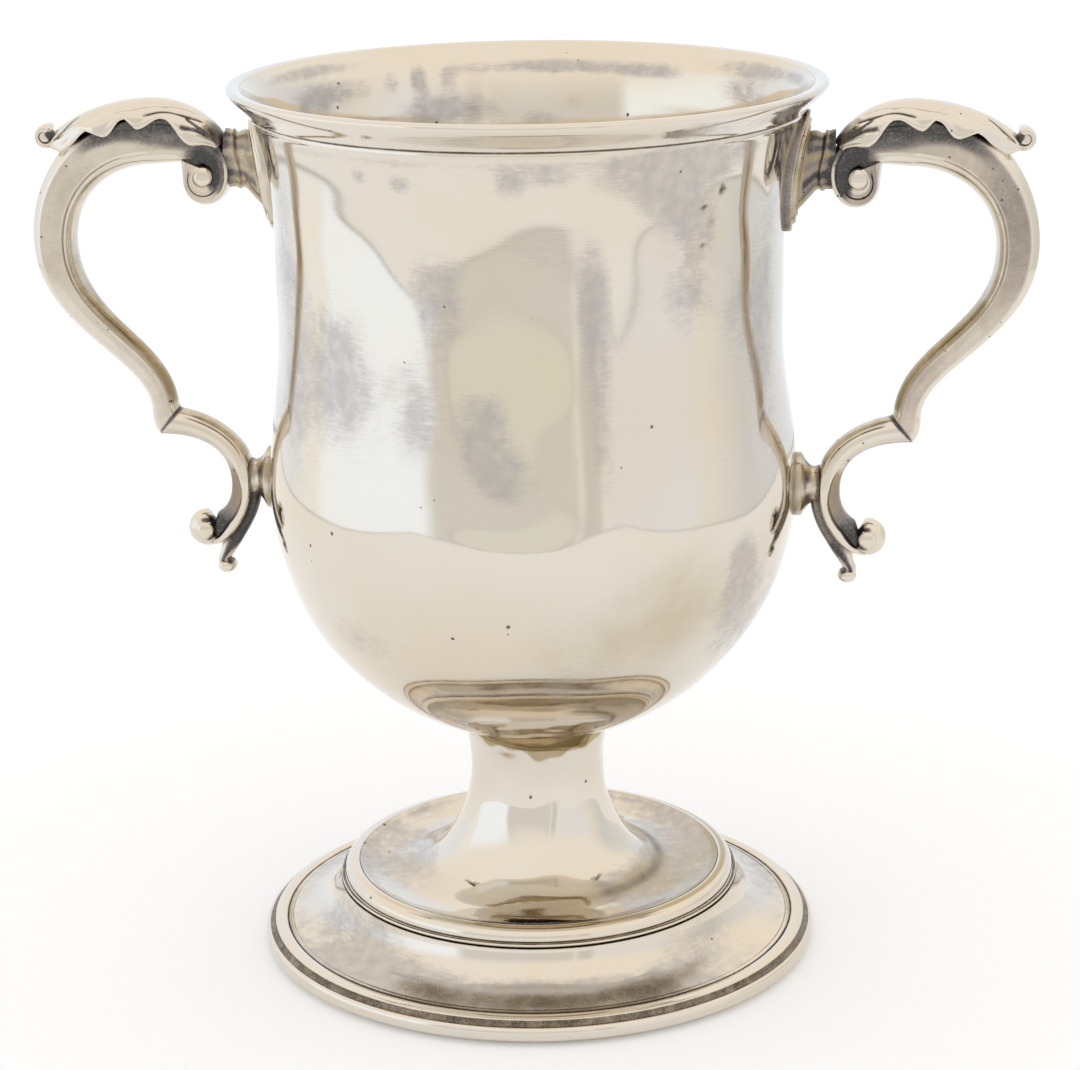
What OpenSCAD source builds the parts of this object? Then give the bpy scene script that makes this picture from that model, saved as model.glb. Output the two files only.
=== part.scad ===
// Two-handled silver cup: a bell-shaped bowl on a trumpet stem and a stepped foot, with double-scroll
// handles. Millimetres, +Z up, handles along X, origin on the table under the middle of the foot.

/* [Bowl] */
// Height from the table to the top of the lip
cup_h = 160; // [152:1:172]
// Radius of the bowl at its fullest
belly_r = 47.4; // [45:0.2:52]
// Height of the bowl's fullest part
belly_z = 88; // [84:1:94]
// Radius of the waist above it
waist_r = 44.7; // [41:0.1:46]
// Height of the waist
waist_z = 124; // [116:1:130]
// Radius of the bowl at the lower edge of the lip moulding
neck_r = 48.2; // [46.5:0.1:49.5]
// Height of the underside of the bowl, at its middle
bowl_z = 40.5; // [38:0.5:44]
// Thickness of the raised sheet
wall = 1.1; // [0.8:0.05:1.5]

/* [Lip] */
// Outer radius of the lip
lip_r = 52.4; // [51:0.1:55]
// Height of the lip moulding
lip_h = 5; // [4:0.1:6.5]
// Thickness of the lip moulding at its top
lip_t = 1.7; // [1.3:0.1:2.2]

/* [Foot] */
// Radius of the stem where it meets the bowl
stem_top_r = 13.8; // [13:0.1:16]
// Radius of the stem at its narrowest
stem_r = 12.2; // [10:0.1:13]
// Height of the stem's narrowest part
stem_z = 34; // [32:0.5:36]
// Radius of the crest round the dish
step_r = 33.5; // [31:0.1:35]
// Height of that crest
step_z = 15.1; // [14:0.1:17]
// Depth of the dish below its crest
dish_d = 1.5; // [0.8:0.1:2]
// Radius at the top of the skirt
skirt_r = 37; // [36:0.1:39]
// Height of the top of the skirt
skirt_z = 12; // [11:0.1:12.8]
// Height of the bottom of the skirt
band_z = 4.5; // [4:0.1:6]
// Outer radius of the foot
foot_r = 51.4; // [46:0.1:57]
// Width of the rim, from the bottom of the skirt to the outside of the foot
rim_w = 4.3; // [3.6:0.1:5]

/* [Upper scroll] */
// From the bowl's fullest radius out to the eye of the upper volute
eye_out = 10.2; // [9.4:0.1:14]
// From the top of the lip down to that eye
eye_drop = 17; // [16:0.5:20]
// Radius of the eye
eye_r = 1.9; // [1.5:0.1:2.2]
// Radius of the volute, from its eye to the side next to the bowl
volute_r = 5; // [4.5:0.1:5.4]
// Width of the volute
volute_t = 8; // [6.6:0.1:9]
// From the eye up to the top of the scroll
shoulder_up = 12.3; // [11.5:0.1:13]
// Height of the scroll's section at its shoulder
shoulder_w = 10.4; // [9.6:0.1:11]
// Width of the scroll at its shoulder
shoulder_t = 8.6; // [7:0.1:10]
// From the eye out to the outside of the grip
grip_out = 31.5; // [28:0.1:38]
// From the eye down to the furthest point of the grip
grip_drop = 11.5; // [8:0.5:14]
// Depth of the scroll's section at the grip
grip_w = 7.5; // [6.4:0.1:8.6]
// Width of the scroll at the grip
grip_t = 7.8; // [6.4:0.1:9]
// Wall of the hollow scroll
shell = 1.2; // [0.8:0.1:1.6]

/* [Lower scroll] */
// From the upper eye out to the point where the scrolls meet
elbow_out = 10.4; // [9:0.1:12]
// From the upper eye down to that point
elbow_drop = 47.5; // [45:0.1:52]
// Length of the mitre between the scrolls
mitre_w = 6.1; // [5.4:0.1:6.6]
// Width of the scrolls at the mitre
elbow_t = 5.6; // [4.8:0.1:6.4]
// From the upper eye in to the back of the lower scroll
back_in = 6.6; // [5.8:0.1:7.4]
// Depth of the lower scroll's section at its back
back_w = 4.2; // [3.6:0.1:4.8]
// Width of the lower scroll at its back
back_t = 6; // [5:0.1:7]
// From the meeting point down to the lower socket
socket_drop = 8; // [7:0.1:10]
// From the lower socket down to the eye of the lower volute
low_eye_drop = 9.7; // [9:0.1:12]
// From the upper eye out to the lower one
low_eye_out = 2.6; // [2:0.1:4]
// Radius of the lower volute
ball_r = 3.4; // [3:0.1:3.7]
// Radius of the lower volute's eye
low_eye_r = 1.6; // [1.3:0.1:1.9]

/* [Leaves] */
// Height of the leaf cap's ridge above the scroll
leaf_t = 1.2; // [0.8:0.1:1.6]
// From the outside of the grip in to the tip of the leaf
leaf_short = 0.8; // [0:0.1:4]
// From the furthest point of the grip up to the tip of the leaf
leaf_rise = 18.6; // [17.6:0.1:19.6]
// Thickness of the tail leaf
tail_t = 1.7; // [1.3:0.1:2]
// Width of the tail leaf
tail_w = 4; // [3:0.1:5]

/* [Sockets] */
// Height of the upper socket's flange
flange_h = 20.4; // [18:0.2:21]
// Width of the upper socket's flange
flange_w = 13; // [11:0.2:16]
// Thickness of the upper socket's flange
flange_t = 1.3; // [0.9:0.1:1.8]
// Height of the upper socket's throat
throat_h = 10.4; // [9:0.2:11]
// Width of the upper socket's throat
throat_w = 7.6; // [6:0.2:8]
// Radius of the lower socket's flange
low_flange_r = 5.7; // [5:0.1:6.5]
// Thickness of the lower socket's flange
low_flange_t = 1.5; // [1:0.1:2]
// Radius of the lower socket's throat
low_throat_r = 3.3; // [2.6:0.1:3.6]
// Clearance left for solder between seated faces
solder = 0.05; // [0.02:0.01:0.12]

/* [Hidden] */
$fn = 96;
silver = [0.86, 0.84, 0.8];
warm = [0.82, 0.78, 0.7];

// Curves: a cubic Bezier, a run of points along it, and runs joined end to end
function bez(p, t) = let (u = 1 - t) u*u*u*p[0] + 3*u*u*t*p[1] + 3*u*t*t*p[2] + t*t*t*p[3];
function curve(p, n) = [for (i = [0:n]) bez(p, i/n)];
function joined(a, b) = concat(a, [for (i = [1:len(b) - 1]) b[i]]);
function chain(runs, counts, i = 0) = i == len(runs) - 1 ? curve(runs[i], counts[i])
    : joined(curve(runs[i], counts[i]), chain(runs, counts, i + 1));
function back(p) = [for (i = [len(p) - 1:-1:0]) p[i]];
function unit(v) = v/norm(v);
function heading(p, i) = unit(p[min(i + 1, len(p) - 1)] - p[max(i - 1, 0)]);
function mix(a, b, k) = a*(1 - k) + b*k;
function ease(k) = let (c = max(0, min(1, k))) c*c*(3 - 2*c);

// A profile moved inward by d, for a run that has the metal on its left
function inset(p, d) = [for (i = [0:len(p) - 1]) let (t = heading(p, i))
    [max(0, p[i][0] - d*t[1]), p[i][1] + d*t[0]]];

// Bowl: a quarter ellipse below, then a drawn-in waist and a spreading throat
neck_z = cup_h - lip_h;
lip_edge = [lip_r - lip_t, cup_h - wall];
bowl_low = [for (i = [0:28]) let (a = 90*i/28)
    [belly_r*sin(a), belly_z - (belly_z - bowl_z)*cos(a)]];
side_h = waist_z - belly_z;
bowl_side = curve([[belly_r, belly_z], [belly_r, belly_z + side_h*0.24],
    [waist_r, waist_z - side_h*0.5], [waist_r, waist_z]], 9);
throat_z = neck_z - waist_z;
bowl_throat = curve([[waist_r, waist_z], [waist_r, waist_z + throat_z*0.5],
    [neck_r - 2.2, neck_z - 6.5], [neck_r, neck_z]], 10);
bowl_flare = curve([[neck_r, neck_z], [neck_r + 0.5, neck_z + 1.5],
    [lip_edge[0] - 1, lip_edge[1] - 1.2], lip_edge], 6);
bowl_wall = joined(joined(bowl_low, bowl_side), bowl_throat);
bowl_out = joined(bowl_wall, bowl_flare);

// Outer radius of the bowl at height z, and height of its underside at radius r
radius_at = [for (p = bowl_wall) [p[1], p[0]]];
function bowl_r(z) = lookup(z, radius_at);
function bowl_under(r) = belly_z - (belly_z - bowl_z)*sqrt(1 - pow(r/belly_r, 2));
// Distance of the bowl's side from the middle, out along the handle, at width y and height z
function bowl_x(y, z) = sqrt(pow(bowl_r(z), 2) - y*y);

// Lip moulding: seated on the flare of the bowl, with a small step below and a round nose
lip_low = neck_r + 0.6;
lip_nose = 1.2;
lip_out = concat(
    curve([[lip_low, neck_z + 0.15], [lip_low + 1.1, neck_z + 1.5], [lip_r - 0.6, cup_h - 2.6],
        [lip_r, cup_h - lip_nose]], 6),
    [for (i = [1:5]) let (a = 18*i)
        [lip_r - lip_nose*(1 - cos(a)), cup_h - lip_nose*(1 - sin(a))]]);

// Stem, from the crest of the dish in to the stem and up to the bowl
dish_z = step_z - dish_d;
dish_r = step_r - 6.5;
stem_top_z = bowl_under(stem_top_r) - solder;
stem_out = chain([
    [[step_r - solder, step_z], [step_r - 1.9, step_z - 0.9], [dish_r + 2.5, dish_z], [dish_r, dish_z]],
    [[dish_r, dish_z], [stem_r + 4.3, dish_z + 0.3], [stem_r, stem_z - 8.5], [stem_r, stem_z]],
    [[stem_r, stem_z], [stem_r, stem_z + 3], [stem_r + 0.5, stem_top_z - 2.2], [stem_top_r, stem_top_z]]],
    [6, 14, 7]);
stem_last = len(stem_out) - 1;
stem_lined = inset(stem_out, wall);
stem_in = concat([[step_r - solder, step_z - 1.5*wall]], [for (i = [2:stem_last - 1]) stem_lined[i]],
    [[stem_top_r - wall, bowl_under(stem_top_r - wall) - solder]]);

// Step ring: a quarter round, a fine groove and a bead
step_low = [skirt_r - 0.8, skirt_z + 0.9];
step_out = concat(
    curve([[step_r, step_z], [step_r + 1.7, step_z], step_low + [0, 1.3], step_low], 7),
    [step_low + [0.1, -0.3], step_low + [0.45, -0.15], [skirt_r, skirt_z + 0.45], [skirt_r, skirt_z]]);

// Skirt: a hollow curve from the rim in and up to the step ring
band_r = foot_r - rim_w;
skirt_w = band_r - skirt_r;
skirt_h = skirt_z - band_z;
skirt_out = curve([[band_r, band_z], [band_r - 0.554*skirt_w, band_z + 0.053*skirt_h],
    [skirt_r + 0.06*skirt_w, skirt_z - 0.64*skirt_h], [skirt_r, skirt_z - solder]], 14);
skirt_last = len(skirt_out) - 1;
skirt_lined = inset(skirt_out, wall);
skirt_in = concat([[band_r, band_z - wall]], [for (i = [1:skirt_last - 2]) skirt_lined[i]],
    [[skirt_r - wall, skirt_z - solder]]);

// Rim: a flat band, a groove and a rounded wire
rim_in = band_r + solder;
rim_run = foot_r - rim_in;
rim_out = concat([[rim_in, band_z], [rim_in + 0.36*rim_run, band_z - 0.1],
    [rim_in + 0.46*rim_run, band_z - 0.75], [rim_in + 0.58*rim_run, band_z - 0.85]],
    curve([[rim_in + 0.64*rim_run, band_z - 0.7], [foot_r - 0.5, band_z - 0.6],
        [foot_r + 0.25, 2.4], [foot_r - 0.1, 1.2]], 7),
    [[foot_r - 0.7, 0], [rim_in + 0.9, 0], [rim_in, band_z - wall - 0.4]]);

// Handle plane: the first number runs out from the upper eye and the second up from it
// Unit of the curves below, in step with the height of the upper scroll
u = (shoulder_up + elbow_drop)/59.8;
eye_x = belly_r + eye_out;
eye_z = cup_h - eye_drop;
tip = [elbow_out, -elbow_drop];
heel = tip + mitre_w*unit([-3.9, 4.7]);
sway = tip + u*[8, 14.5];
sway_in = sway + 5.5*u*unit([-3.7, 4.1]);
shoulder = [volute_r + 4.4*u, shoulder_up];
shoulder_in = shoulder + [-0.5*u, -shoulder_w];
grip = [grip_out, -grip_drop];
grip_in = grip + [-grip_w, -u];
seat_w = -elbow_drop - socket_drop;
low_back = [-back_in, seat_w];
low_in = [back_w - back_in, seat_w - u];
low_eye = [low_eye_out, seat_w - low_eye_drop];
function round_eye(c, r, from, to, n) = [for (i = [0:n]) let (a = from + (to - from)*i/n)
    c + r*[cos(a), sin(a)]];

// Upper scroll: its outer edge from the curled end round the volute, over the shoulder and down the grip
// to the mitre, and its inner edge ring for ring
scroll_counts = [2, 5, 5, 9, 13, 9, 7, 2];
scroll_outer = chain([
    [volute_r*[0.6, 0.28], volute_r*[0.7, 0.18], volute_r*[0.76, 0.04], volute_r*[0.76, -0.1]],
    [volute_r*[0.76, -0.1], volute_r*[0.76, -0.62], volute_r*[0.44, -1.04], volute_r*[-0.06, -1.04]],
    [volute_r*[-0.06, -1.04], volute_r*[-0.62, -1.04], volute_r*[-1, -0.48], volute_r*[-1, 0.2]],
    [volute_r*[-1, 0.2], volute_r*[-1, 1.3], [shoulder[0] - 8.5*u, shoulder_up], shoulder],
    [shoulder, shoulder + u*[12, 0], grip + u*[0, 13], grip],
    [grip, grip + u*[0, -10], sway + u*[6.5, 5.8], sway],
    [sway, sway - u*[4.5, 4], tip + u*[1.3, 7.8], tip + u*[1.3, 4.3]],
    [tip + u*[1.3, 4.3], tip + u*[1.3, 2.5], tip + u*[0.9, 1.1], tip]], scroll_counts);
scroll_inner = joined(joined(
    round_eye([0, 0], 0.75*eye_r, 25, -90, 7),
    round_eye([0, 0], 0.75*eye_r, -90, -180, 5)),
    chain([
    [[-0.75*eye_r, 0], [-0.75*eye_r, 2.6*u], [shoulder_in[0] - 6*u, shoulder_in[1] + 0.7*u], shoulder_in],
    [shoulder_in, shoulder_in + u*[7, 0], grip_in + u*[0, 10], grip_in],
    [grip_in, grip_in + u*[0, -8], sway_in + u*[4.2, 4.1], sway_in],
    [sway_in, sway_in - u*[4, 3.8], heel + u*[1.2, 6.6], heel + u*[0.4, 1.6]],
    [heel + u*[0.4, 1.6], heel + u*[0.3, 1], heel + u*[0.2, 0.5], heel]],
    [for (i = [3:7]) scroll_counts[i]]));
scroll_last = len(scroll_outer) - 1;
// Half the width along it, how much the rim stands above the sunk face, and how far it is hollow
scroll_half = chain([
    volute_t*[0.44, 0.46, 0.5, 0.5], volute_t*[0.5, 0.5, 0.5, 0.5], volute_t*[0.5, 0.5, 0.5, 0.5],
    [volute_t*0.5, volute_t*0.5, shoulder_t*0.5, shoulder_t*0.5],
    [shoulder_t*0.5, shoulder_t*0.5, grip_t*0.5, grip_t*0.5],
    [grip_t*0.5, grip_t*0.5, elbow_t*0.57, elbow_t*0.57],
    [elbow_t*0.57, elbow_t*0.54, elbow_t*0.5, elbow_t*0.5],
    [elbow_t*0.5, elbow_t*0.5, elbow_t*0.5, elbow_t*0.47]], scroll_counts);
function scroll_rim(i) = 1 - ease((i - 17)/7);
function scroll_hollow(i) = ease((i - 17)/4);

// A half section from the outer edge (0) to the inner edge (1): a plain oval, and a sunk face with a rim
across = [0, 0.03, 0.13, 0.23, 0.33, 0.6, 0.88, 1];
plain = [for (v = across) pow(4*v*(1 - v), 0.45)];
function sunk(web) = [0, 0.75, 1, 1, web, web, 0.8*web, 0];
function outline(b, rim, web) = b*mix(plain, sunk(web), rim);
function at(o, i, v, y) = let (p = mix(o, i, v)) [p[0], y, p[1]];

// Ring of the front half: the outside, then back along the inside of its wall
function half_ring(k) = let (o = scroll_outer[k], i = scroll_inner[k], b = scroll_half[k],
    y = outline(b, scroll_rim(k), 0.66), in = max(0.3, 1 - 2*shell/norm(i - o))) concat(
    [for (j = [0:7]) at(o, i, across[j], -y[j])],
    [for (j = [7:-1:0]) at(o, i, 0.5 + in*(across[j] - 0.5),
        -max(0, b*plain[j] - shell)*scroll_hollow(k))]);

// Lower scroll: edges from the mitre round its back to the curled end
low_counts = [11, 14, 4, 4];
low_outer = chain([
    [heel, heel + u*[-4.1, -0.6], low_back + u*[0, 8.5], low_back],
    [low_back, low_back + u*[0, -7.5], low_eye + [-4.7*u, -ball_r], low_eye + [0, -ball_r]],
    [low_eye + [0, -ball_r], low_eye + ball_r*[0.57, -1], low_eye + ball_r*[1, -0.57],
        low_eye + [ball_r, 0]],
    [low_eye + [ball_r, 0], low_eye + ball_r*[1, 0.6], low_eye + ball_r*[0.5, 1],
        low_eye + [0, ball_r]]],
    low_counts);
low_inner = joined(joined(
    chain([
    [tip, tip + u*[-7.5, 0.1], low_in + u*[0, 6.5], low_in],
    [low_in, low_in + u*[0, -2.5], low_eye + u*[-4.2, 4.2], low_eye + u*[-2.2, 2.9]],
    [low_eye + u*[-2.2, 2.9], low_eye + u*[-1.6, 2], low_eye + [-1.5*u, -0.75*low_eye_r],
        low_eye + [0, -0.75*low_eye_r]]], [low_counts[0], 7, 7]),
    round_eye(low_eye, 0.75*low_eye_r, -90, 0, 4)), round_eye(low_eye, 0.75*low_eye_r, 0, 90, 4));
low_last = len(low_outer) - 1;
low_half = chain([elbow_t*[0.47, 0.5, 0.5, 0] + back_t*[0, 0, 0, 0.5], back_t*[0.5, 0.5, 0.5, 0.5],
    back_t*[0.5, 0.5, 0.5, 0.48], back_t*[0.48, 0.46, 0.43, 0.4]], low_counts);
function low_rim(i) = ease((i - 4)/8)*(1 - ease((i - 23)/4));
function low_ring(k) = let (o = low_outer[k], i = low_inner[k],
    y = outline(low_half[k], low_rim(k), 0.68)) concat(
    [for (j = [0:7]) at(o, i, across[j], y[j])],
    [for (j = [6:-1:1]) at(o, i, across[j], -y[j])]);

// Leaf cap: a ridge line, the line where it lies on the scroll, and scalloped edges down both sides
leaf_root = volute_r*[-0.84, 1.08];
leaf_tip = grip + [-leaf_short, leaf_rise];
leaf_counts = [15, 17];
leaf_ridge = chain([
    [leaf_root + u*[0, 4], leaf_root + u*[4.1, 7], shoulder + [-3.5*u, leaf_t + 0.6*u],
        shoulder + [2*u, leaf_t]],
    [shoulder + [2*u, leaf_t], shoulder + [9.5*u, leaf_t - 0.9*u], leaf_tip + u*[-6.7, 0.9], leaf_tip]],
    leaf_counts);
leaf_seat = chain([
    [leaf_root, leaf_root + u*[2.5, 4.2], shoulder + u*[-6.5, 0.1], shoulder + u*[1, 0.1]],
    [shoulder + u*[1, 0.1], shoulder + u*[8, -0.1], leaf_tip + u*[-7.6, 0.4], leaf_tip + u*[-0.2, -1.6]]],
    leaf_counts);
leaf_last = len(leaf_ridge) - 1;
function leaf_taper(s) = 1 - 0.66*ease((s - 0.68)/0.32);
function leaf_lift(s) = [0, solder + u*mix(0.75, 0.22, ease((s - 0.15)/0.3))];
// Scallops: places of the notches along the leaf, the share of a lobe reached, and the depth of the edge
leaf_notches = [[0.12, 0], [0.366, 1], [0.551, 2], [0.772, 3], [1.02, 4]];
function leaf_lobe(s) = let (n = lookup(s, leaf_notches)) pow(sin(180*pow(n - floor(n), 1.6)), 0.7);
function leaf_drop(s) = u*(mix(2.2, 1.1, ease((s - 0.04)/0.1)) - 0.6*ease((s - 0.55)/0.25)
    + mix(2.2, 1.9, ease((s - 0.6)/0.3))*leaf_lobe(s));
function leaf_ring(k) = let (s = k/leaf_last, r = leaf_ridge[k], q = leaf_seat[k] + leaf_lift(s),
    t = heading(leaf_seat, k), d = leaf_drop(s), e = q + d*[t[1], -t[0]],
    b = (0.5*shoulder_t + 4*solder)*leaf_taper(s)) concat(
    [for (j = [0:8]) let (a = -90 + 22.5*j) at(e, r, cos(a), (b + 0.65*u)*sin(a))],
    [for (j = [8:-1:0]) let (a = -90 + 22.5*j) at(e, q, cos(a), b*sin(a))]);

// Tail leaf: a strip behind the lower scroll that ends in a small curl
tail_line = chain([
    [low_back + [0.45*u - tail_t/2, -3.7*u], low_back + u*[-0.25, -8.4], low_eye + u*[-4.8, -2.7],
        low_eye + u*[-3.1, -5.5]],
    [low_eye + u*[-3.1, -5.5], low_eye + u*[-2.7, -7.7], low_eye + u*[-3.9, -9], low_eye + u*[-5, -8.8]],
    [low_eye + u*[-5, -8.8], low_eye + u*[-6, -8.6], low_eye + u*[-6.2, -7.5], low_eye + u*[-5.3, -7.2]]],
    [11, 5, 4]);
tail_last = len(tail_line) - 1;
function tail_half(k) = tail_t*mix(0.42, 0.72, ease((k - 5)/5))*(1 - 0.4*ease((k - 12)/8));
function tail_ring(k) = let (t = heading(tail_line, k), n = [t[1], -t[0]], c = tail_line[k], a = tail_half(k),
    b = 0.5*tail_w*(1 - 0.25*k/tail_last)) [for (j = [0:9]) let (g = 36*j, p = c + a*cos(g)*n)
    [p[0], b*sin(g), p[1]]];

// Upper socket: a drop-shaped flange on the bowl, drawn in to an oval throat against the volute
seat_z = eye_z + 0.9;
volute_side = [for (i = [8:18]) [eye_z + scroll_outer[i][1], eye_x + scroll_outer[i][0]]];
throat_x = eye_x + leaf_root[0] - 0.1;
function throat_end(z) = min(lookup(z, volute_side) - 2*solder, throat_x);
flange_mid = seat_z + 10.2 - flange_h/2;
throat_mid = eye_z + 3;
// Drop outline of height h and width w about the height mid, drawn to a point below
function drop(h, w, mid) = [for (i = [0:23]) let (a = 15*i, z = sin(a))
    [0.5*w*cos(a)*(z < 0 ? 1 + 0.42*z : 1), mid + 0.5*h*z]];
function oval_at(h, w, mid) = [for (i = [0:23]) let (a = 15*i) [0.5*w*cos(a), mid + 0.5*h*sin(a)]];
function shrunk(p, k, mid) = [for (q = p) [q[0]*k, mid + (q[1] - mid)*k]];
flange = drop(flange_h, flange_w, flange_mid);
bead = drop(flange_h - 2, flange_w - 1.8, flange_mid + 0.2);
throat = oval_at(throat_h, throat_w, throat_mid);
function on_bowl(p, d) = [for (q = p) [bowl_x(q[0], q[1]) + d, q[0], q[1]]];
function on_volute(p) = [for (q = p) [throat_end(q[1]), q[0], q[1]]];
function between(a, b, along, drawn) = [for (i = [0:23])
    [mix(a[i][0], b[i][0], along), mix(a[i][1], b[i][1], drawn), mix(a[i][2], b[i][2], drawn)]];
socket_foot = on_bowl(bead, flange_t + 0.7);
socket_neck = on_volute(throat);
socket_rings = concat(
    [for (k = [0.3, 0.65, 1]) on_bowl(shrunk(flange, k, flange_mid), solder)],
    [on_bowl(flange, flange_t - 0.2), on_bowl(shrunk(flange, 0.965, flange_mid), flange_t),
    on_bowl(bead, flange_t)],
    [for (k = [0:5]) between(socket_foot, socket_neck, 0.85*k/5, 1 - pow(1 - k/5, 2.2))],
    [for (k = [1, 0.65, 0.3]) on_volute(shrunk(throat, k, throat_mid))]);

// Lower socket: a turned flange and throat about a level line, cut to the bowl
low_z = eye_z + seat_w;
low_run = eye_x - back_in - solder;
low_root = bowl_r(low_z);
low_face = low_root + low_flange_t;
low_profile = concat([[0, low_root - 3], [low_flange_r, low_root - 3], [low_flange_r, low_face - 0.2],
    [low_flange_r - 0.2, low_face], [low_flange_r - 0.9, low_face]],
    curve([[low_flange_r - 0.9, low_face + 0.3], [low_throat_r + 0.3, low_face + 0.6],
        [low_throat_r, low_run - 1.4], [low_throat_r, low_run]], 6),
    [[0, low_run]]);

// Solid skinned over rings of equal count, with a fan in each end
module skin(rings) {
    n = len(rings[0]);
    m = len(rings);
    middle = [for (r = [rings[0], rings[m - 1]]) [for (q = [1:n]) 1/n]*r];
    sides = [for (i = [0:m - 2], j = [0:n - 1]) let (k = (j + 1)%n, a = i*n + j, b = i*n + k)
        each [[b, a, b + n], [b + n, a, a + n]]];
    first = [for (j = [0:n - 1]) [j, (j + 1)%n, m*n]];
    last = [for (j = [0:n - 1]) [(m - 1)*n + (j + 1)%n, (m - 1)*n + j, m*n + 1]];
    polyhedron([for (r = rings) each r, each middle], [each sides, each first, each last], convexity = 8);
}

// Shell skinned over rings that run out along one side and back along the other, with a strip in each end
module strip_skin(rings) {
    n = len(rings[0]);
    m = len(rings);
    sides = [for (i = [0:m - 2], j = [0:n - 1]) let (k = (j + 1)%n, a = i*n + j, b = i*n + k)
        each [[a, b, b + n], [a, b + n, a + n]]];
    e = (m - 1)*n;
    caps = [for (j = [0:n/2 - 2]) each [[j + 1, j, n - 1 - j], [j + 1, n - 1 - j, n - 2 - j],
        [e + j, e + j + 1, e + n - 1 - j], [e + j + 1, e + n - 2 - j, e + n - 1 - j]]];
    polyhedron([for (r = rings) each r], [each sides, each caps], convexity = 8);
}

// Turned solid between an outer profile and the inner one
module turned(outer, inner) rotate_extrude() polygon(concat(outer, back(inner)));

module handle_place() translate([eye_x, 0, eye_z]) children();

// Button of a volute, turned about the Y direction, from just off the middle plane to one side
module button(r, plate_r, plate, stand) rotate([90, 0, 0]) rotate_extrude() polygon(concat(
    [[0, 0.3], [plate_r, 0.3], [plate_r, plate], [r, plate], [r, stand - 0.5*r]],
    [for (i = [1:5]) [r*cos(18*i), stand - 0.5*r*(1 - sin(18*i))]]));

module bowl() color(silver) turned(bowl_out, inset(bowl_out, wall));
module lip_moulding() color(silver) turned(lip_out, inset(bowl_flare, -solder));
module stem() color(silver) turned(stem_out, stem_in);
module foot_step() color(silver) rotate_extrude() polygon(concat(step_out,
    [[skirt_r - wall - 0.5, skirt_z], [step_r, step_z - 1.5*wall]]));
module foot_skirt() color(silver) turned(skirt_out, skirt_in);
module foot_rim() color(silver) rotate_extrude() polygon(rim_out);

module scroll_half_piece() handle_place() {
    strip_skin([for (k = [0:scroll_last]) back(half_ring(k))]);
    button(eye_r, 0.6*volute_r, 0.3*volute_t, 0.5*volute_t);
}
module right_scroll_front() color(warm) scroll_half_piece();
module right_scroll_back() color(warm) mirror([0, 1, 0]) scroll_half_piece();
module right_leaf_cap() color(warm) handle_place() strip_skin([for (k = [0:leaf_last]) leaf_ring(k)]);
module right_lower_scroll() color(warm) handle_place() {
    skin([for (k = [0:low_last]) low_ring(k)]);
    for (s = [0, 1]) mirror([0, s, 0]) translate([low_eye[0], 0, low_eye[1]])
        button(low_eye_r, 0.86*ball_r, 0.3*back_t, 0.54*back_t);
}
module right_tail_leaf() color(warm) handle_place() skin([for (k = [0:tail_last]) tail_ring(k)]);
module right_upper_socket() color(warm) skin(socket_rings);
module right_lower_socket() color(warm) difference() {
    translate([0, 0, low_z]) rotate([0, 90, 0]) rotate_extrude() polygon(low_profile);
    rotate_extrude() polygon(concat(inset(bowl_wall, -solder), [[0, neck_z]]));
}

module left_scroll_front() mirror([1, 0, 0]) right_scroll_front();
module left_scroll_back() mirror([1, 0, 0]) right_scroll_back();
module left_leaf_cap() mirror([1, 0, 0]) right_leaf_cap();
module left_lower_scroll() mirror([1, 0, 0]) right_lower_scroll();
module left_tail_leaf() mirror([1, 0, 0]) right_tail_leaf();
module left_upper_socket() mirror([1, 0, 0]) right_upper_socket();
module left_lower_socket() mirror([1, 0, 0]) right_lower_socket();

bowl();
lip_moulding();
stem();
foot_step();
foot_skirt();
foot_rim();
right_upper_socket();
right_scroll_front();
right_scroll_back();
right_leaf_cap();
right_lower_scroll();
right_tail_leaf();
right_lower_socket();
left_upper_socket();
left_scroll_front();
left_scroll_back();
left_leaf_cap();
left_lower_scroll();
left_tail_leaf();
left_lower_socket();
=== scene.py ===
import math

import bmesh
import bpy
import mathutils
import numpy as np
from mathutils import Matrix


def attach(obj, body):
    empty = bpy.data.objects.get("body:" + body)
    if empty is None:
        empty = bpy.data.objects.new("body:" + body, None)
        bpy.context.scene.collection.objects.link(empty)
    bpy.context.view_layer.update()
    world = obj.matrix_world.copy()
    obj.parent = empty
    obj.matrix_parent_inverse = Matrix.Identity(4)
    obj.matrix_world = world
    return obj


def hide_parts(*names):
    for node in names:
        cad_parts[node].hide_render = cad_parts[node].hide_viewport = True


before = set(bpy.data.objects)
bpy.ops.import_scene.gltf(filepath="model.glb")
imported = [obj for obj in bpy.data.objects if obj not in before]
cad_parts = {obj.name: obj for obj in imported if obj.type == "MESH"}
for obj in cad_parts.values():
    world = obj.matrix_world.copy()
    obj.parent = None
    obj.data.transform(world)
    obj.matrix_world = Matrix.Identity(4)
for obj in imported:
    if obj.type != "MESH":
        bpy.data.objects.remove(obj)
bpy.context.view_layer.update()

# Bowl: one sheet of sterling silver, raised by hammer from its round underside to the neck.
# It was planished and polished by hand, so the mirror is soft and gently uneven, and fire stain
# shows through the polish in lilac-grey patches. Sizes are in millimetres up to the mesh.
MM = 0.001
CUP_H, LIP_H, LIP_R, LIP_T = 160.0, 5.0, 52.4, 1.7
BELLY_R, BELLY_Z, BOWL_Z = 47.4, 88.0, 40.5
WAIST_R, WAIST_Z, NECK_R, WALL = 44.7, 124.0, 48.2, 1.1
NECK_Z = CUP_H - LIP_H
ROUND, SHARP = 240, math.radians(48)


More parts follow.
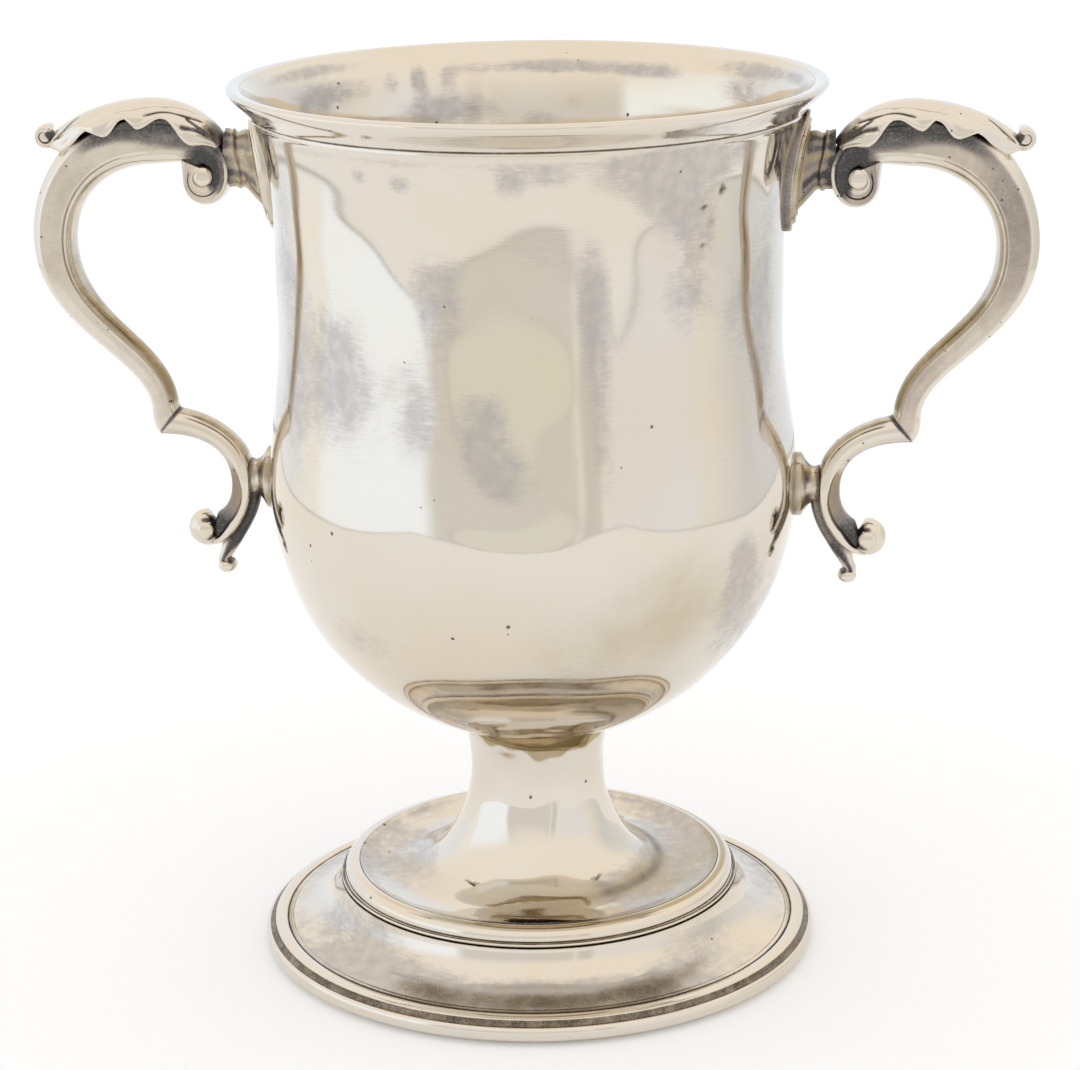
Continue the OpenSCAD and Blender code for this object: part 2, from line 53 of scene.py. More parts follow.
def bezier(points, t):
    """Cubic Bezier at t: the points weighted by (1-t)^3, 3(1-t)^2 t, 3(1-t)t^2 and t^3."""
    p = np.asarray(points, float)
    t = np.asarray(t, float).reshape((-1,) + (1,)*(p.ndim - 1))
    return (1 - t)**3*p[0] + 3*(1 - t)**2*t*p[1] + 3*(1 - t)*t**2*p[2] + t**3*p[3]


def run(points, steps):
    """The same curve at equal steps of t."""
    return bezier(points, np.linspace(0, 1, steps + 1))


def joined(*runs):
    """Runs laid end to end; a later run's first point repeats the one before it and is dropped."""
    return np.concatenate([runs[0]] + [r[1:] for r in runs[1:]])


def left_of(line):
    """Unit direction to the left of a line's heading, at each of its points."""
    way = np.gradient(line, axis=0)
    way = way/np.linalg.norm(way, axis=1)[:, None]
    return np.stack([-way[:, 1], way[:, 0]], axis=1)


def inset(profile, depth):
    """Each point moved by depth to the left of the profile's heading, never past the axis."""
    return np.maximum(profile + depth*left_of(profile), [0, -np.inf])


def ease(k):
    """3k^2 - 2k^3 on k held between 0 and 1: a soft step."""
    k = np.clip(k, 0, 1)
    return k*k*(3 - 2*k)


def window(x, start, rise, end, fall):
    """Soft step up from start over rise, times a soft step down from end over fall."""
    return ease((x - start)/rise)*(1 - ease((x - end)/fall))


def spot(x, middle, half):
    """exp(-((x - middle)/half)^2): a soft spot or line."""
    return np.exp(-((x - middle)/half)**2)


def full_turn(steps):
    """Angles once round in equal steps, as a row."""
    return np.linspace(0, 2*np.pi, steps, endpoint=False)[None, :]


def turned(profile):
    """Profile of (radius r, height z) carried round the axis: (r sin a, -r cos a, z), a = 0 at the front.
    Returns the grid of points and the grids of angles a in radians, of r and of z."""
    a = full_turn(ROUND) + 0*profile[:, :1]
    r, z = profile[:, :1] + 0*a, profile[:, 1:] + 0*a
    return np.stack([r*np.sin(a), -r*np.cos(a), z], axis=-1), a, r, z


def hammered(angle, height, blows):
    """Unevenness left by the hammer: the sum of A sin(m angle + q height + phase), over blows that are
    each (m, q, A, phase)."""
    return sum(size*np.sin(m*angle + q*height + phase) for m, q, size, phase in blows)


def off_angle(angle, middle):
    """Degrees from the middle round to an angle in radians, between -180 and 180."""
    return (np.degrees(angle) - middle + 180) % 360 - 180


def patches(angle, z, marks):
    """Sum of soft oval spots round the axis, each (degrees, height, half width in degrees, half height,
    strength): strength times exp(-(u^2 + v^2)/2), u and v counted in half widths and half heights."""
    total = 0*z
    for middle, level, wide, tall, strength in marks:
        off = off_angle(angle, middle)/wide
        total = total + strength*np.exp(-0.5*(off**2 + ((z - level)/tall)**2))
    return total


def masked(points, oxide_and_shade=0.0, film=0.0, gilt=0.0):
    """Grid of points with three more channels: dark oxide and painted shade, grey film (in two places
    painted shade and painted light), and gold-brown solder stain.
    """
    flat = np.zeros(points.shape[:-1])
    extra = np.stack([flat + np.clip(m, 0, 1) for m in (oxide_and_shade, film, gilt)], axis=-1)
    return np.concatenate([points, extra], axis=-1)


def capped(grid):
    """Grid with its first and last rows drawn in to their middles, so that both ends close."""
    first, last = (0*row + row.mean(axis=0) for row in (grid[0], grid[-1]))
    return np.concatenate([first[None], grid, last[None]])


def silver_piece(name, node, slot, material, *grids, loop=False):
    """One mesh from grids of rows and columns: every cell is a quad, columns close on themselves and rows
    do too where loop is set. Points that fall together at a pole are merged."""
    coords, quads, start = [], [], 0
    for grid in grids:
        rows, cols = grid.shape[:2]
        index = start + np.arange(rows*cols).reshape(rows, cols)
        index = np.concatenate([index, index[:, :1]], axis=1)
        if loop:
            index = np.concatenate([index, index[:1]])
        cell = [index[:-1, :-1], index[:-1, 1:], index[1:, 1:], index[1:, :-1]]
        quads.append(np.stack(cell, axis=-1).reshape(-1, 4))
        coords.append(grid.reshape(rows*cols, -1))
        start += rows*cols
    coords = np.concatenate(coords)
    mesh = bpy.data.meshes.new(name)
    mesh.from_pydata((coords[:, :3]*MM).tolist(), [], np.concatenate(quads).tolist())
    for channel, mask in enumerate(("oxide_and_shade", "film", "gilt")):
        values = coords[:, 3 + channel].astype(np.float32)
        mesh.attributes.new(mask, "FLOAT", "POINT").data.foreach_set("value", values)
    tidy = bmesh.new()
    tidy.from_mesh(mesh)
    bmesh.ops.remove_doubles(tidy, verts=tidy.verts, dist=1e-7)
    bmesh.ops.recalc_face_normals(tidy, faces=tidy.faces)
    tidy.to_mesh(mesh)
    tidy.free()
    mesh.shade_smooth()
    mesh.set_sharp_from_angle(angle=SHARP)
    piece = bpy.data.objects.new(name, mesh)
    bpy.context.scene.collection.objects.link(piece)
    mesh.materials.append(material)
    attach(piece, "root")
    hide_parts(node)


def add_node(tree, kind, inputs=None, **fields):
    """Adds a shader node, sets its fields, and sets each input to a value or links it to a socket."""
    made = tree.nodes.new(kind)
    for field, value in fields.items():
        setattr(made, field, value)
    for key, value in (inputs or {}).items():
        if isinstance(value, bpy.types.NodeSocket):
            tree.links.new(value, made.inputs[key])
        else:
            made.inputs[key].default_value = value
    return made


def sums(tree, operation, *values):
    """One Math node on two or three values or sockets."""
    return add_node(tree, "ShaderNodeMath", dict(enumerate(values)), operation=operation).outputs[0]


def soft_step(tree, value, low, high, to_low=0.0, to_high=1.0):
    """Smooth Map Range from low..high to to_low..to_high."""
    ends = {"Value": value, "From Min": low, "From Max": high, "To Min": to_low, "To Max": to_high}
    return add_node(tree, "ShaderNodeMapRange", ends, interpolation_type="SMOOTHSTEP").outputs["Result"]


def noise(tree, place, scale, detail=4.0, roughness=0.55, distortion=0.0):
    """Noise texture's value."""
    values = {"Vector": place, "Scale": scale, "Detail": detail, "Roughness": roughness,
              "Distortion": distortion}
    return add_node(tree, "ShaderNodeTexNoise", values).outputs[0]


def stretched(tree, place, factors):
    """Coordinates multiplied axis by axis, which squeezes a pattern along each axis."""
    return add_node(tree, "ShaderNodeVectorMath", {0: place, 1: factors}, operation="MULTIPLY").outputs[0]


def tint(tree, share, first, second):
    """Colour mixed from first to second by share."""
    inputs = {0: share}
    for key, colour in ((6, first), (7, second)):
        inputs[key] = colour if isinstance(colour, bpy.types.NodeSocket) else (*colour, 1.0)
    return add_node(tree, "ShaderNodeMix", inputs, data_type="RGBA").outputs[2]


def effect(name, inputs, outputs):
    """Empty shader node group; a socket named Place is a vector, and the others are numbers. Returns the
    group's tree, its inputs and its outputs."""
    group = bpy.data.node_groups.new(name, "ShaderNodeTree")
    for words, way in ((inputs, "INPUT"), (outputs, "OUTPUT")):
        for socket in words:
            kind = "NodeSocketVector" if socket == "Place" else "NodeSocketFloat"
            group.interface.new_socket(name=socket, in_out=way, socket_type=kind)
    taken = group.nodes.new("NodeGroupInput")
    given = group.nodes.new("NodeGroupOutput")
    return group, taken.outputs, given.inputs


# A layer of stain and oxide, which also carries painted shade: the mask on the piece, broken up by clouds
# and by fine level streaks, then sharpened between the two values Low and High.
film_edges, taken, given = effect(
    "film_edges", ("Place", "Mask", "Clouds", "Streaks", "Size", "Low", "High"), ("Film",))
cloud = noise(film_edges, taken["Place"], taken["Size"], 7.0, 0.62, 0.35)
streak_size = sums(film_edges, "MULTIPLY", taken["Size"], 5.0)
streak = noise(film_edges, stretched(film_edges, taken["Place"], (1, 1, 6)), streak_size, 5.0, 0.6)
cloud, streak = (sums(film_edges, "SUBTRACT", value, 0.5) for value in (cloud, streak))
broken = sums(film_edges, "MULTIPLY_ADD", cloud, taken["Clouds"], 1.0)
broken = sums(film_edges, "MULTIPLY_ADD", streak, taken["Streaks"], broken)
whole = sums(film_edges, "MULTIPLY", broken, taken["Mask"])
film_edges.links.new(soft_step(film_edges, whole, taken["Low"], taken["High"]), given["Film"])

# Pits: round cells of several sizes, of which only a share is open, most of them in clusters.
pit_marks, taken, given = effect("pit_marks", ("Place", "Size", "Share"), ("Pit",))
cells = add_node(pit_marks, "ShaderNodeTexVoronoi", {"Vector": taken["Place"], "Scale": taken["Size"]})
chance = add_node(pit_marks, "ShaderNodeSeparateColor", {0: cells.outputs["Color"]}).outputs
cluster = soft_step(pit_marks, noise(pit_marks, taken["Place"], 0.09, 2.0), 0.42, 0.68, 0.25, 3.0)
is_open = sums(pit_marks, "LESS_THAN", chance[0], sums(pit_marks, "MULTIPLY", taken["Share"], cluster))
ragged = noise(pit_marks, taken["Place"], sums(pit_marks, "MULTIPLY", taken["Size"], 4.0), 2.0)
uneven_edge = sums(pit_marks, "MULTIPLY_ADD", ragged, 0.8, 0.2)
reach = sums(pit_marks, "MULTIPLY", sums(pit_marks, "MULTIPLY_ADD", chance[1], 0.2, 0.07), uneven_edge)
from_edge = sums(pit_marks, "SUBTRACT", cells.outputs["Distance"], reach)
near = soft_step(pit_marks, from_edge, -0.04, 0.03, 1.0, 0.0)
pit_marks.links.new(sums(pit_marks, "MULTIPLY", near, is_open), given["Pit"])

# Hairlines: fine polishing scratches, some level, some upright and some slanting.
hairlines, taken, given = effect("hairlines", ("Place",), ("Height",))
level = noise(hairlines, stretched(hairlines, taken["Place"], (0.05, 0.05, 2.6)), 1.0, 3.0)
upright = noise(hairlines, stretched(hairlines, taken["Place"], (1.9, 1.9, 0.05)), 1.0, 3.0)
turn = add_node(hairlines, "ShaderNodeMapping", {"Vector": taken["Place"], "Rotation": (0.7, 0.5, 0.4),
                                                 "Scale": (0.06, 2.2, 0.06)}).outputs[0]
height = sums(hairlines, "ADD", sums(hairlines, "ADD", level, upright), noise(hairlines, turn, 1.0, 3.0))
hairlines.links.new(sums(hairlines, "MULTIPLY", height, 0.3333), given["Height"])


def silver(name, bright, warm, film, gilt, thin_oxide_and_shade, thick_oxide_and_shade, polish, film_rough,
           film_break, oxide_and_shade_break, gilt_break, pits):
    """Old silver: a bright metal that drifts to a warmer tone in clouds, under a grey film, gold-brown
    stain, thin and thick oxide that also carries painted shade, and pits. polish and film_rough are the
    roughness of bare and of filmed metal; the breaks are (Clouds, Streaks, Size, Low, High) of the film,
    oxide and gold stain, and pits is (Size, Share)."""
    material = bpy.data.materials.new(name)
    material.use_nodes = True
    tree = material.node_tree
    surface = tree.nodes["Principled BSDF"]
    metres = add_node(tree, "ShaderNodeTexCoord").outputs["Object"]
    place = stretched(tree, metres, (1/MM, 1/MM, 1/MM))

    def layer(mask, breaks):
        inputs = dict(zip(("Clouds", "Streaks", "Size", "Low", "High"), breaks))
        inputs["Place"] = place
        inputs["Mask"] = add_node(tree, "ShaderNodeAttribute", attribute_name=mask).outputs["Fac"]
        return add_node(tree, "ShaderNodeGroup", inputs, node_tree=film_edges).outputs["Film"]

    filmed, oxide_and_shade_layer = layer("film", film_break), layer("oxide_and_shade", oxide_and_shade_break)
    gilded = layer("gilt", gilt_break)
    pit_inputs = {"Place": place, "Size": pits[0], "Share": pits[1]}
    pit = add_node(tree, "ShaderNodeGroup", pit_inputs, node_tree=pit_marks).outputs["Pit"]
    lines = add_node(tree, "ShaderNodeGroup", {"Place": place}, node_tree=hairlines).outputs["Height"]
    grain = noise(tree, place, 2.6, 3.0)

    drift = soft_step(tree, noise(tree, place, 0.03, 3.0), 0.4, 0.66)
    colour = tint(tree, drift, bright, warm)
    mottled = soft_step(tree, noise(tree, place, 0.5, 5.0), 0.25, 0.7, 0.55, 0.95)
    thin = sums(tree, "MULTIPLY", filmed, mottled)
    colour = tint(tree, thin, colour, film)
    tree.links.new(sums(tree, "MULTIPLY_ADD", thin, -0.45, 1.0), surface.inputs["Metallic"])
    colour = tint(tree, sums(tree, "MULTIPLY", gilded, 0.85), colour, gilt)
    # The oxide layer also carries painted shade: under the leaf, in the roll's hollow and where parts lie
    # against each other.
    dark = sums(tree, "MULTIPLY", oxide_and_shade_layer, soft_step(tree, grain, 0.3, 0.62, 0.74, 1.0))
    colour = tint(tree, soft_step(tree, dark, 0.0, 0.55), colour, thin_oxide_and_shade)
    colour = tint(tree, soft_step(tree, dark, 0.4, 0.95), colour, thick_oxide_and_shade)
    colour = tint(tree, sums(tree, "MULTIPLY", pit, 0.85), colour, thick_oxide_and_shade)
    tree.links.new(colour, surface.inputs["Base Color"])

    rough = sums(tree, "MULTIPLY_ADD", lines, 0.09, polish - 0.045)
    rough = sums(tree, "MULTIPLY_ADD", thin, film_rough - polish, rough)
    rough = sums(tree, "MULTIPLY_ADD", sums(tree, "MAXIMUM", dark, pit), 0.3, rough)
    tree.links.new(rough, surface.inputs["Roughness"])

    relief = sums(tree, "MULTIPLY_ADD", pit, -0.6, sums(tree, "MULTIPLY", lines, 0.06))
    relief = sums(tree, "MULTIPLY_ADD", sums(tree, "MULTIPLY", grain, dark), 0.5, relief)
    bump = add_node(tree, "ShaderNodeBump", {"Strength": 0.35, "Distance": 0.0002, "Height": relief})
    tree.links.new(bump.outputs["Normal"], surface.inputs["Normal"])
    return material


raised_silver = silver(
    "raised_silver", bright=(0.735, 0.683, 0.603), warm=(0.735, 0.66, 0.545), film=(0.50, 0.46, 0.43),
    gilt=(0.40, 0.315, 0.16), thin_oxide_and_shade=(0.30, 0.245, 0.185), thick_oxide_and_shade=(0.085, 0.072, 0.055),
    polish=0.07, film_rough=0.16, film_break=(2.4, 1.1, 0.085, 0.25, 0.82),
    oxide_and_shade_break=(0.9, 0.3, 0.32, 0.12, 0.9), gilt_break=(1.1, 0.25, 0.1, 0.1, 1.0), pits=(0.42, 0.032))


def raised_piece(name, node, grid, loop=True):
    """A piece of raised or drawn silver, in place of that node."""
    silver_piece(name, node, "raised_silver", raised_silver, grid, loop=loop)


# The outside from the middle of the underside up to the lip, with a fine ridge and groove below the
# lip moulding, then the inside back down.
arc = np.linspace(0, np.pi/2, 61)
bowl_low = np.stack([BELLY_R*np.sin(arc), BELLY_Z - (BELLY_Z - BOWL_Z)*np.cos(arc)], axis=1)
side_h = WAIST_Z - BELLY_Z
bowl_side = run([[BELLY_R, BELLY_Z], [BELLY_R, BELLY_Z + side_h*0.24],
                 [WAIST_R, WAIST_Z - side_h*0.5], [WAIST_R, WAIST_Z]], 40)
throat_h = NECK_Z - WAIST_Z
neck_steps = np.concatenate([np.linspace(0, 0.84, 30), np.linspace(0.85, 1, 34)])
bowl_throat = bezier([[WAIST_R, WAIST_Z], [WAIST_R, WAIST_Z + throat_h*0.5],
                      [NECK_R - 2.2, NECK_Z - 6.5], [NECK_R, NECK_Z]], neck_steps)
bowl_wall = joined(bowl_low, bowl_side, bowl_throat)
lip_edge = np.array([LIP_R - LIP_T, CUP_H - WALL])
bowl_flare = run([[NECK_R, NECK_Z], [NECK_R + 0.5, NECK_Z + 1.5], lip_edge - [1, 1.2], lip_edge], 10)
bowl_out = joined(bowl_wall, bowl_flare)
bowl_in = inset(bowl_out, WALL)[::-1]
ridge = 0.14*spot(bowl_out[:, 1], NECK_Z - 0.85, 0.3) - 0.2*spot(bowl_out[:, 1], NECK_Z - 0.15, 0.24)
bowl_out = bowl_out + np.stack([ridge, 0*ridge], axis=1)
bowl_points, around, reach, height = turned(np.concatenate([bowl_out, bowl_in]))

# Planishing leaves the wall a little uneven all over, and there is one small dent low on the front.
bowl_blows = [(9, 0.30, 0.045, 0.6), (6, 0.22, 0.05, 2.1), (4, -0.17, 0.06, 4.0), (13, 0.36, 0.018, 1.2),
              (3, 0.10, 0.07, 0.0), (11, -0.28, 0.03, 0.4), (2, 0.21, 0.05, 3.0)]
uneven = 0.75*hammered(around, height, bowl_blows)*ease((height - 46)/14)*ease((CUP_H - 8 - height)/12)
uneven = uneven - patches(around, height, [(-17.5, 94, 4, 3, 0.07)])
bowl_points[..., :2] *= (1 + uneven/np.maximum(reach, 1e-6))[..., None]

front_stains = [
    (-15, 132, 4.5, 4.5, 0.75), (-13, 126, 3.5, 5, 0.7), (-42, 120, 6, 7, 0.5), (-36, 111, 7, 8, 0.47),
    (-5, 109, 4.5, 4.5, 0.7), (0, 101, 4.5, 4, 0.65), (19, 130, 2.4, 6, 0.7), (20, 119, 2.2, 8, 0.5),
    (21, 100, 2, 9, 0.3), (2, 150, 2.6, 2, 0.8), (10, 150.5, 4, 1.2, 0.6), (29, 150, 6, 2.6, 1.0),
    (43, 151, 9, 2.2, 1.0), (35, 146, 4, 2.6, 0.85), (42, 133, 5.5, 8, 0.7), (43, 141, 3.5, 3.5, 0.55),
    (68, 122, 5, 15, 0.7), (56, 81, 3, 3.2, 0.8), (57, 75, 3.4, 2.6, 0.75), (-30, 150, 1.8, 1, 0.7),
    (-21, 149, 2.2, 1.2, 0.6), (-19, 111, 4, 5, 0.7), (-62, 128, 6, 18, 0.4), (62, 70, 9, 7, 0.6),
    (-52, 108, 6, 10, 0.4), (8, 139, 5, 3, 0.4), (14, 62, 8, 5, 0.35), (-38, 68, 10, 4, 0.3),
    (55, 122, 4, 8, 0.35)]
draw = np.random.default_rng(7)
back_stains = np.stack([draw.uniform(80, 285, 26), draw.uniform(62, 151, 26), draw.uniform(3, 9, 26),
                        draw.uniform(2, 9, 26), draw.uniform(0.4, 0.8, 26)], axis=1).tolist()
inner_stains = [
    (181, 155.6, 13, 0.9, 0.95), (157, 155.2, 6, 1.0, 0.6), (242, 157.8, 11, 0.7, 0.85),
    (239, 153.4, 8, 1.6, 0.85), (205, 148, 9, 2.1, 0.85), (126, 157.4, 10, 0.9, 0.9),
    (105, 158, 9, 0.6, 0.7), (128, 153.2, 6.5, 1.9, 0.9),
    (184, 146, 6, 1.2, 0.45), (248, 149, 6, 2.5, 0.5), (60, 140, 20, 9, 0.6), (300, 120, 22, 12, 0.6),
    (170, 110, 24, 14, 0.6)]
is_inner = (np.arange(len(bowl_points)) >= len(bowl_out))[:, None]
inner_strokes = patches(around, height, [(212, 154, 8, 1.8, 0.36)])*(1 + np.sin(48*around))
inner_film = 0.88*patches(around, height, inner_stains) + inner_strokes + 0.85*ease((132 - height)/30)
# A band just under the lip moulding is painted darker all round as the lip's shade; the rest of the outer
# film is stain.
outer_film_and_shade = patches(around, height, front_stains + back_stains) + 0.3*spot(height, NECK_Z - 2.4, 1.0)
stain_and_shade = 0.12 + np.where(is_inner, inner_film, outer_film_and_shade)
groove = np.where(is_inner, 0, 0.85*spot(height, NECK_Z - 0.1, 0.26))
eaten = [(49.8, 146, 0.9, 0.8, 0.9), (44.5, 143.4, 0.8, 0.5, 0.8), (47.4, 140.7, 1.6, 1.0, 0.45),
         (45.5, 136.9, 0.8, 0.6, 0.7)]
groove = groove + np.where(is_inner, 0, patches(around, height, eaten))
collar = np.where(is_inner, 0, 0.9*spot(reach, 14.2, 1.2)*(height < 50))
inner_gold = patches(around, height, [(144, 148.5, 9, 0.9, 0.5), (175, 149.4, 2.5, 1.4, 0.4)])
outer_gold = patches(around, height, [(42, 76, 15, 9, 0.45), (16, 68, 15, 7, 0.3), (70, 86, 8, 9, 0.3)])
sulphur = np.where(is_inner, inner_gold, outer_gold)
raised_piece("bowl_raised", "bowl", masked(bowl_points, groove + 0.4*collar, stain_and_shade, collar + sulphur),
             loop=False)

# Lip moulding: a drawn silver wire bent to a ring and soldered round the flared edge of the bowl.
# Its face is one hollow curve that ends above in a narrow round nose, rubbed bright by use.
lip_low, lip_nose = NECK_R + 0.6, 0.7


def polar(reach, turn):
    """Two lengths, (reach cos turn, reach sin turn), as a last axis."""
    return np.stack([reach*np.cos(turn), reach*np.sin(turn)], axis=-1)


lip_nose_run = [LIP_R, CUP_H] - lip_nose*(1 - polar(1, np.linspace(0, np.pi/2, 9)))
lip_top = [lip_nose_run[-1], lip_nose_run[-1] - [0.75, 0], [50.25, CUP_H - 0.15], [49.98, CUP_H - 0.42]]
lip_profile = np.concatenate([
    [[NECK_R + 0.1, NECK_Z + 0.05], [lip_low - 0.12, NECK_Z + 0.06]],
    run([[lip_low, NECK_Z + 0.15], [lip_low + 0.9, NECK_Z + 1.7], [LIP_R - 0.5, CUP_H - 2.2],
         [LIP_R, CUP_H - lip_nose]], 22)[:-1],
    lip_nose_run, run(lip_top, 10)[1:], inset(bowl_flare, 0.45*WALL)[-2::-1]])
lip_points, lip_turn, _, lip_z = turned(lip_profile)
lip_marks = [(38, 157, 12, 1.2, 0.6), (-55, 157.5, 10, 1, 0.55), (64, 158, 7, 1.5, 0.6),
             (140, 157, 14, 1, 0.5), (220, 156.5, 9, 1.2, 0.5)]
lip_seam, lip_film = 0.8*spot(lip_z, NECK_Z, 0.22), 0.1 + patches(lip_turn, lip_z, lip_marks)
raised_piece("lip_moulding_ring", "lip_moulding", masked(lip_points, lip_seam, lip_film))

# Stem: a trumpet raised in one piece with the shallow dish at its base, soldered to the bowl's underside.
# Gold-brown solder stain runs round the joint, and old polish and small pits sit in the dish.
STEM_TOP_R, STEM_R, STEM_Z, STEP_R, STEP_Z, DISH_D = 13.8, 12.2, 34.0, 33.5, 15.1, 1.5
SOLDER = 0.05


def bowl_under(r):
    """Height of the bowl's underside at radius r: the ellipse of its lower half."""
    return BELLY_Z - (BELLY_Z - BOWL_Z)*np.sqrt(1 - (r/BELLY_R)**2)


dish_z, dish_r = STEP_Z - DISH_D, STEP_R - 6.5
stem_top_z = bowl_under(STEM_TOP_R) + 0.12
stem_out = joined(
    run([[STEP_R - SOLDER, STEP_Z], [STEP_R - 1.9, STEP_Z - 0.9], [dish_r + 2.5, dish_z],
         [dish_r, dish_z]], 26),
    run([[dish_r, dish_z], [STEM_R + 4.3, dish_z + 0.3], [STEM_R, STEM_Z - 8.5], [STEM_R, STEM_Z]], 60),
    run([[STEM_R, STEM_Z], [STEM_R, STEM_Z + 3], [STEM_R + 0.5, stem_top_z - 2.2],
         [STEM_TOP_R, stem_top_z]], 30))
stem_in = inset(stem_out, WALL)[2:-1]
stem_in = np.concatenate([[[STEP_R - SOLDER, STEP_Z - 1.5*WALL]], stem_in,
                          [[STEM_TOP_R - WALL, bowl_under(STEM_TOP_R - WALL) + 0.1]]])
stem_points, stem_turn, stem_r, stem_z = turned(np.concatenate([stem_out, stem_in[::-1]]))
stem_blows = [(4, 0.35, 0.05, 1.0), (7, -0.5, 0.035, 0.0), (3, 0.8, 0.03, 2.0), (10, 0.3, 0.015, 4.0)]
stem_free = ease((stem_z - dish_z - 1)/5)*ease((stem_top_z - 1 - stem_z)/3)
stem_uneven = hammered(stem_turn, stem_z, stem_blows)*stem_free
stem_points[..., :2] *= (1 + stem_uneven/stem_r)[..., None]
dish_blows = [(3, 0.5, 0.05, 0.3), (7, -0.8, 0.035, 1.0), (5, 1.2, 0.03, 2.5), (12, 0.6, 0.012, 0.0)]
dish_uneven = hammered(stem_turn, stem_r, dish_blows)*ease((stem_r - 16)/4)*ease((STEP_R - 2 - stem_r)/2)
stem_points[..., 2] += dish_uneven
solder_waves = [(3, 0, 1.2, 0.7), (8, 0, 0.6, 0), (17, 0, 0.4, 0)]
solder_edge = stem_top_z - 3.0 - hammered(stem_turn, 0, solder_waves)
solder_stain = 0.95*ease((stem_z - solder_edge)/0.9 + 0.5)
dish_dirt = [(100, 14, 24, 3, 0.9), (52, 14, 16, 3, 0.65), (-75, 14, 20, 3, 0.35), (150, 14, 25, 3, 0.4),
             (250, 14, 25, 3, 0.4)]
# Painted light: film at the front of the dish lightens the dark reflection there, and gold-brown stain is
# laid with it.
dish_front_light_and_stain = spot(stem_r, STEP_R - 2.0, 1.4)*ease((np.cos(stem_turn - 0.1) - 0.7)/0.2)
stem_film_and_light = 0.1 + patches(stem_turn, stem_z, dish_dirt)*ease((stem_r - 16)/4)
stem_film_and_light = stem_film_and_light + 0.2*spot(stem_r, STEP_R - 1.2, 0.9) + 0.8*dish_front_light_and_stain
foot_arc = 0.55*spot(stem_r, 22.5, 1.6)*ease((np.cos(stem_turn - 1.5) - 0.2)/0.7)
gold_marks = [(78, 14, 30, 3, 0.6), (-62, 14, 34, 3, 0.28), (190, 14, 40, 3, 0.25)]
dish_gold = patches(stem_turn, stem_z, gold_marks)
edge_gold = 0.7*spot(stem_r, STEP_R - 0.5, 0.4)*ease((np.cos(stem_turn - 0.8) - 0.2)/0.4)
dish_gold = dish_gold*ease((stem_r - 17)/4) + 0.5*dish_front_light_and_stain + edge_gold
stem_dark = 0.6*spot(stem_z, stem_top_z, 0.25) + 0.45*spot(stem_r, STEP_R - 0.1, 0.16) + foot_arc
stem_gold = solder_stain + 0.5*foot_arc + dish_gold
raised_piece("stem_trumpet", "stem", masked(stem_points, stem_dark, stem_film_and_light, stem_gold))

# Step ring: a quarter-round with a fine bead below it between two grooves, soldered round the dish.
# The grooves are never reached by the polishing cloth and stay dark as two fine lines.
SKIRT_R, SKIRT_Z = 37.0, 12.0
step_low = np.array([SKIRT_R - 0.8, SKIRT_Z + 0.9])
step_bead = [SKIRT_R - 0.42, SKIRT_Z + 0.42] + polar(0.36, np.radians(np.linspace(150, -55, 14)))
step_profile = np.concatenate([
    run([[STEP_R, STEP_Z - 0.1], [STEP_R + 0.15, STEP_Z + 0.1], [STEP_R + 0.4, STEP_Z + 0.05],
         [STEP_R + 0.7, STEP_Z - 0.05]], 6)[:-1],
    run([[STEP_R + 0.7, STEP_Z - 0.05], [STEP_R + 2.2, STEP_Z - 0.15], step_low + [0.02, 1.2],
         step_low], 20),
    step_low + [[-0.05, -0.1], [-0.18, -0.16]], step_bead,
    [[SKIRT_R - 0.45, SKIRT_Z], [SKIRT_R - 1.6, SKIRT_Z], [STEP_R, STEP_Z - 1.5*WALL]]])
step_points, step_turn, _, step_z = turned(step_profile)
step_grooves = 0.75*spot(step_z, SKIRT_Z + 0.74, 0.09) + 0.9*spot(step_z, SKIRT_Z + 0.03, 0.12)
crest_gold = 0.55*spot(step_z, STEP_Z - 0.1, 0.12)*(1 + np.cos(step_turn - 0.9))
step_film = 0.1 + 0.1*np.sin(5*step_turn)
raised_piece("foot_step_ring", "foot_step", masked(step_points, step_grooves, step_film, crest_gold))

# Skirt: the hollow-curved face of the foot, raised sheet between the step ring and the rim.
# Tarnish lies purple-brown along its lower part, where fingers and cloth seldom reach.
BAND_Z, FOOT_R, RIM_W = 4.5, 51.4, 4.3
band_r = FOOT_R - RIM_W
skirt_w, skirt_h = band_r - SKIRT_R, SKIRT_Z - BAND_Z
skirt_out = run([[band_r, BAND_Z], [band_r - 0.554*skirt_w, BAND_Z + 0.053*skirt_h],
                 [SKIRT_R + 0.06*skirt_w, SKIRT_Z - 0.64*skirt_h], [SKIRT_R, SKIRT_Z - SOLDER]], 96)
skirt_in = inset(skirt_out, WALL)[1:-2]
skirt_in = np.concatenate([[[band_r, BAND_Z - WALL]], skirt_in, [[SKIRT_R - WALL, SKIRT_Z - SOLDER]]])
skirt_points, skirt_turn, skirt_r, skirt_z = turned(np.concatenate([skirt_out, skirt_in[::-1]]))
skirt_blows = [(5, 0.3, 0.06, 0.8), (9, -0.6, 0.035, 2.0), (14, 0.9, 0.02, 0.0), (22, -0.5, 0.008, 1.0)]
skirt_free = ease((band_r - 0.8 - skirt_r)/2.5)*ease((skirt_r - SKIRT_R - 0.4)/1.5)
skirt_points[..., 2] += hammered(skirt_turn, skirt_r, skirt_blows)*skirt_free
tarnish = [(6, 4.8, 12, 1, 0.55), (-26, 5, 9, 2, 0.5), (36, 4.8, 9, 1, 0.4), (-53, 7.5, 13, 3, 0.95),
           (52, 8, 11, 2.5, 0.35), (120, 6, 20, 3, 0.4), (180, 6, 16, 3, 0.4), (235, 6, 20, 3, 0.35),
           (-19, 5.7, 15, 0.9, 0.6), (22, 5.7, 15, 0.9, 0.6)]
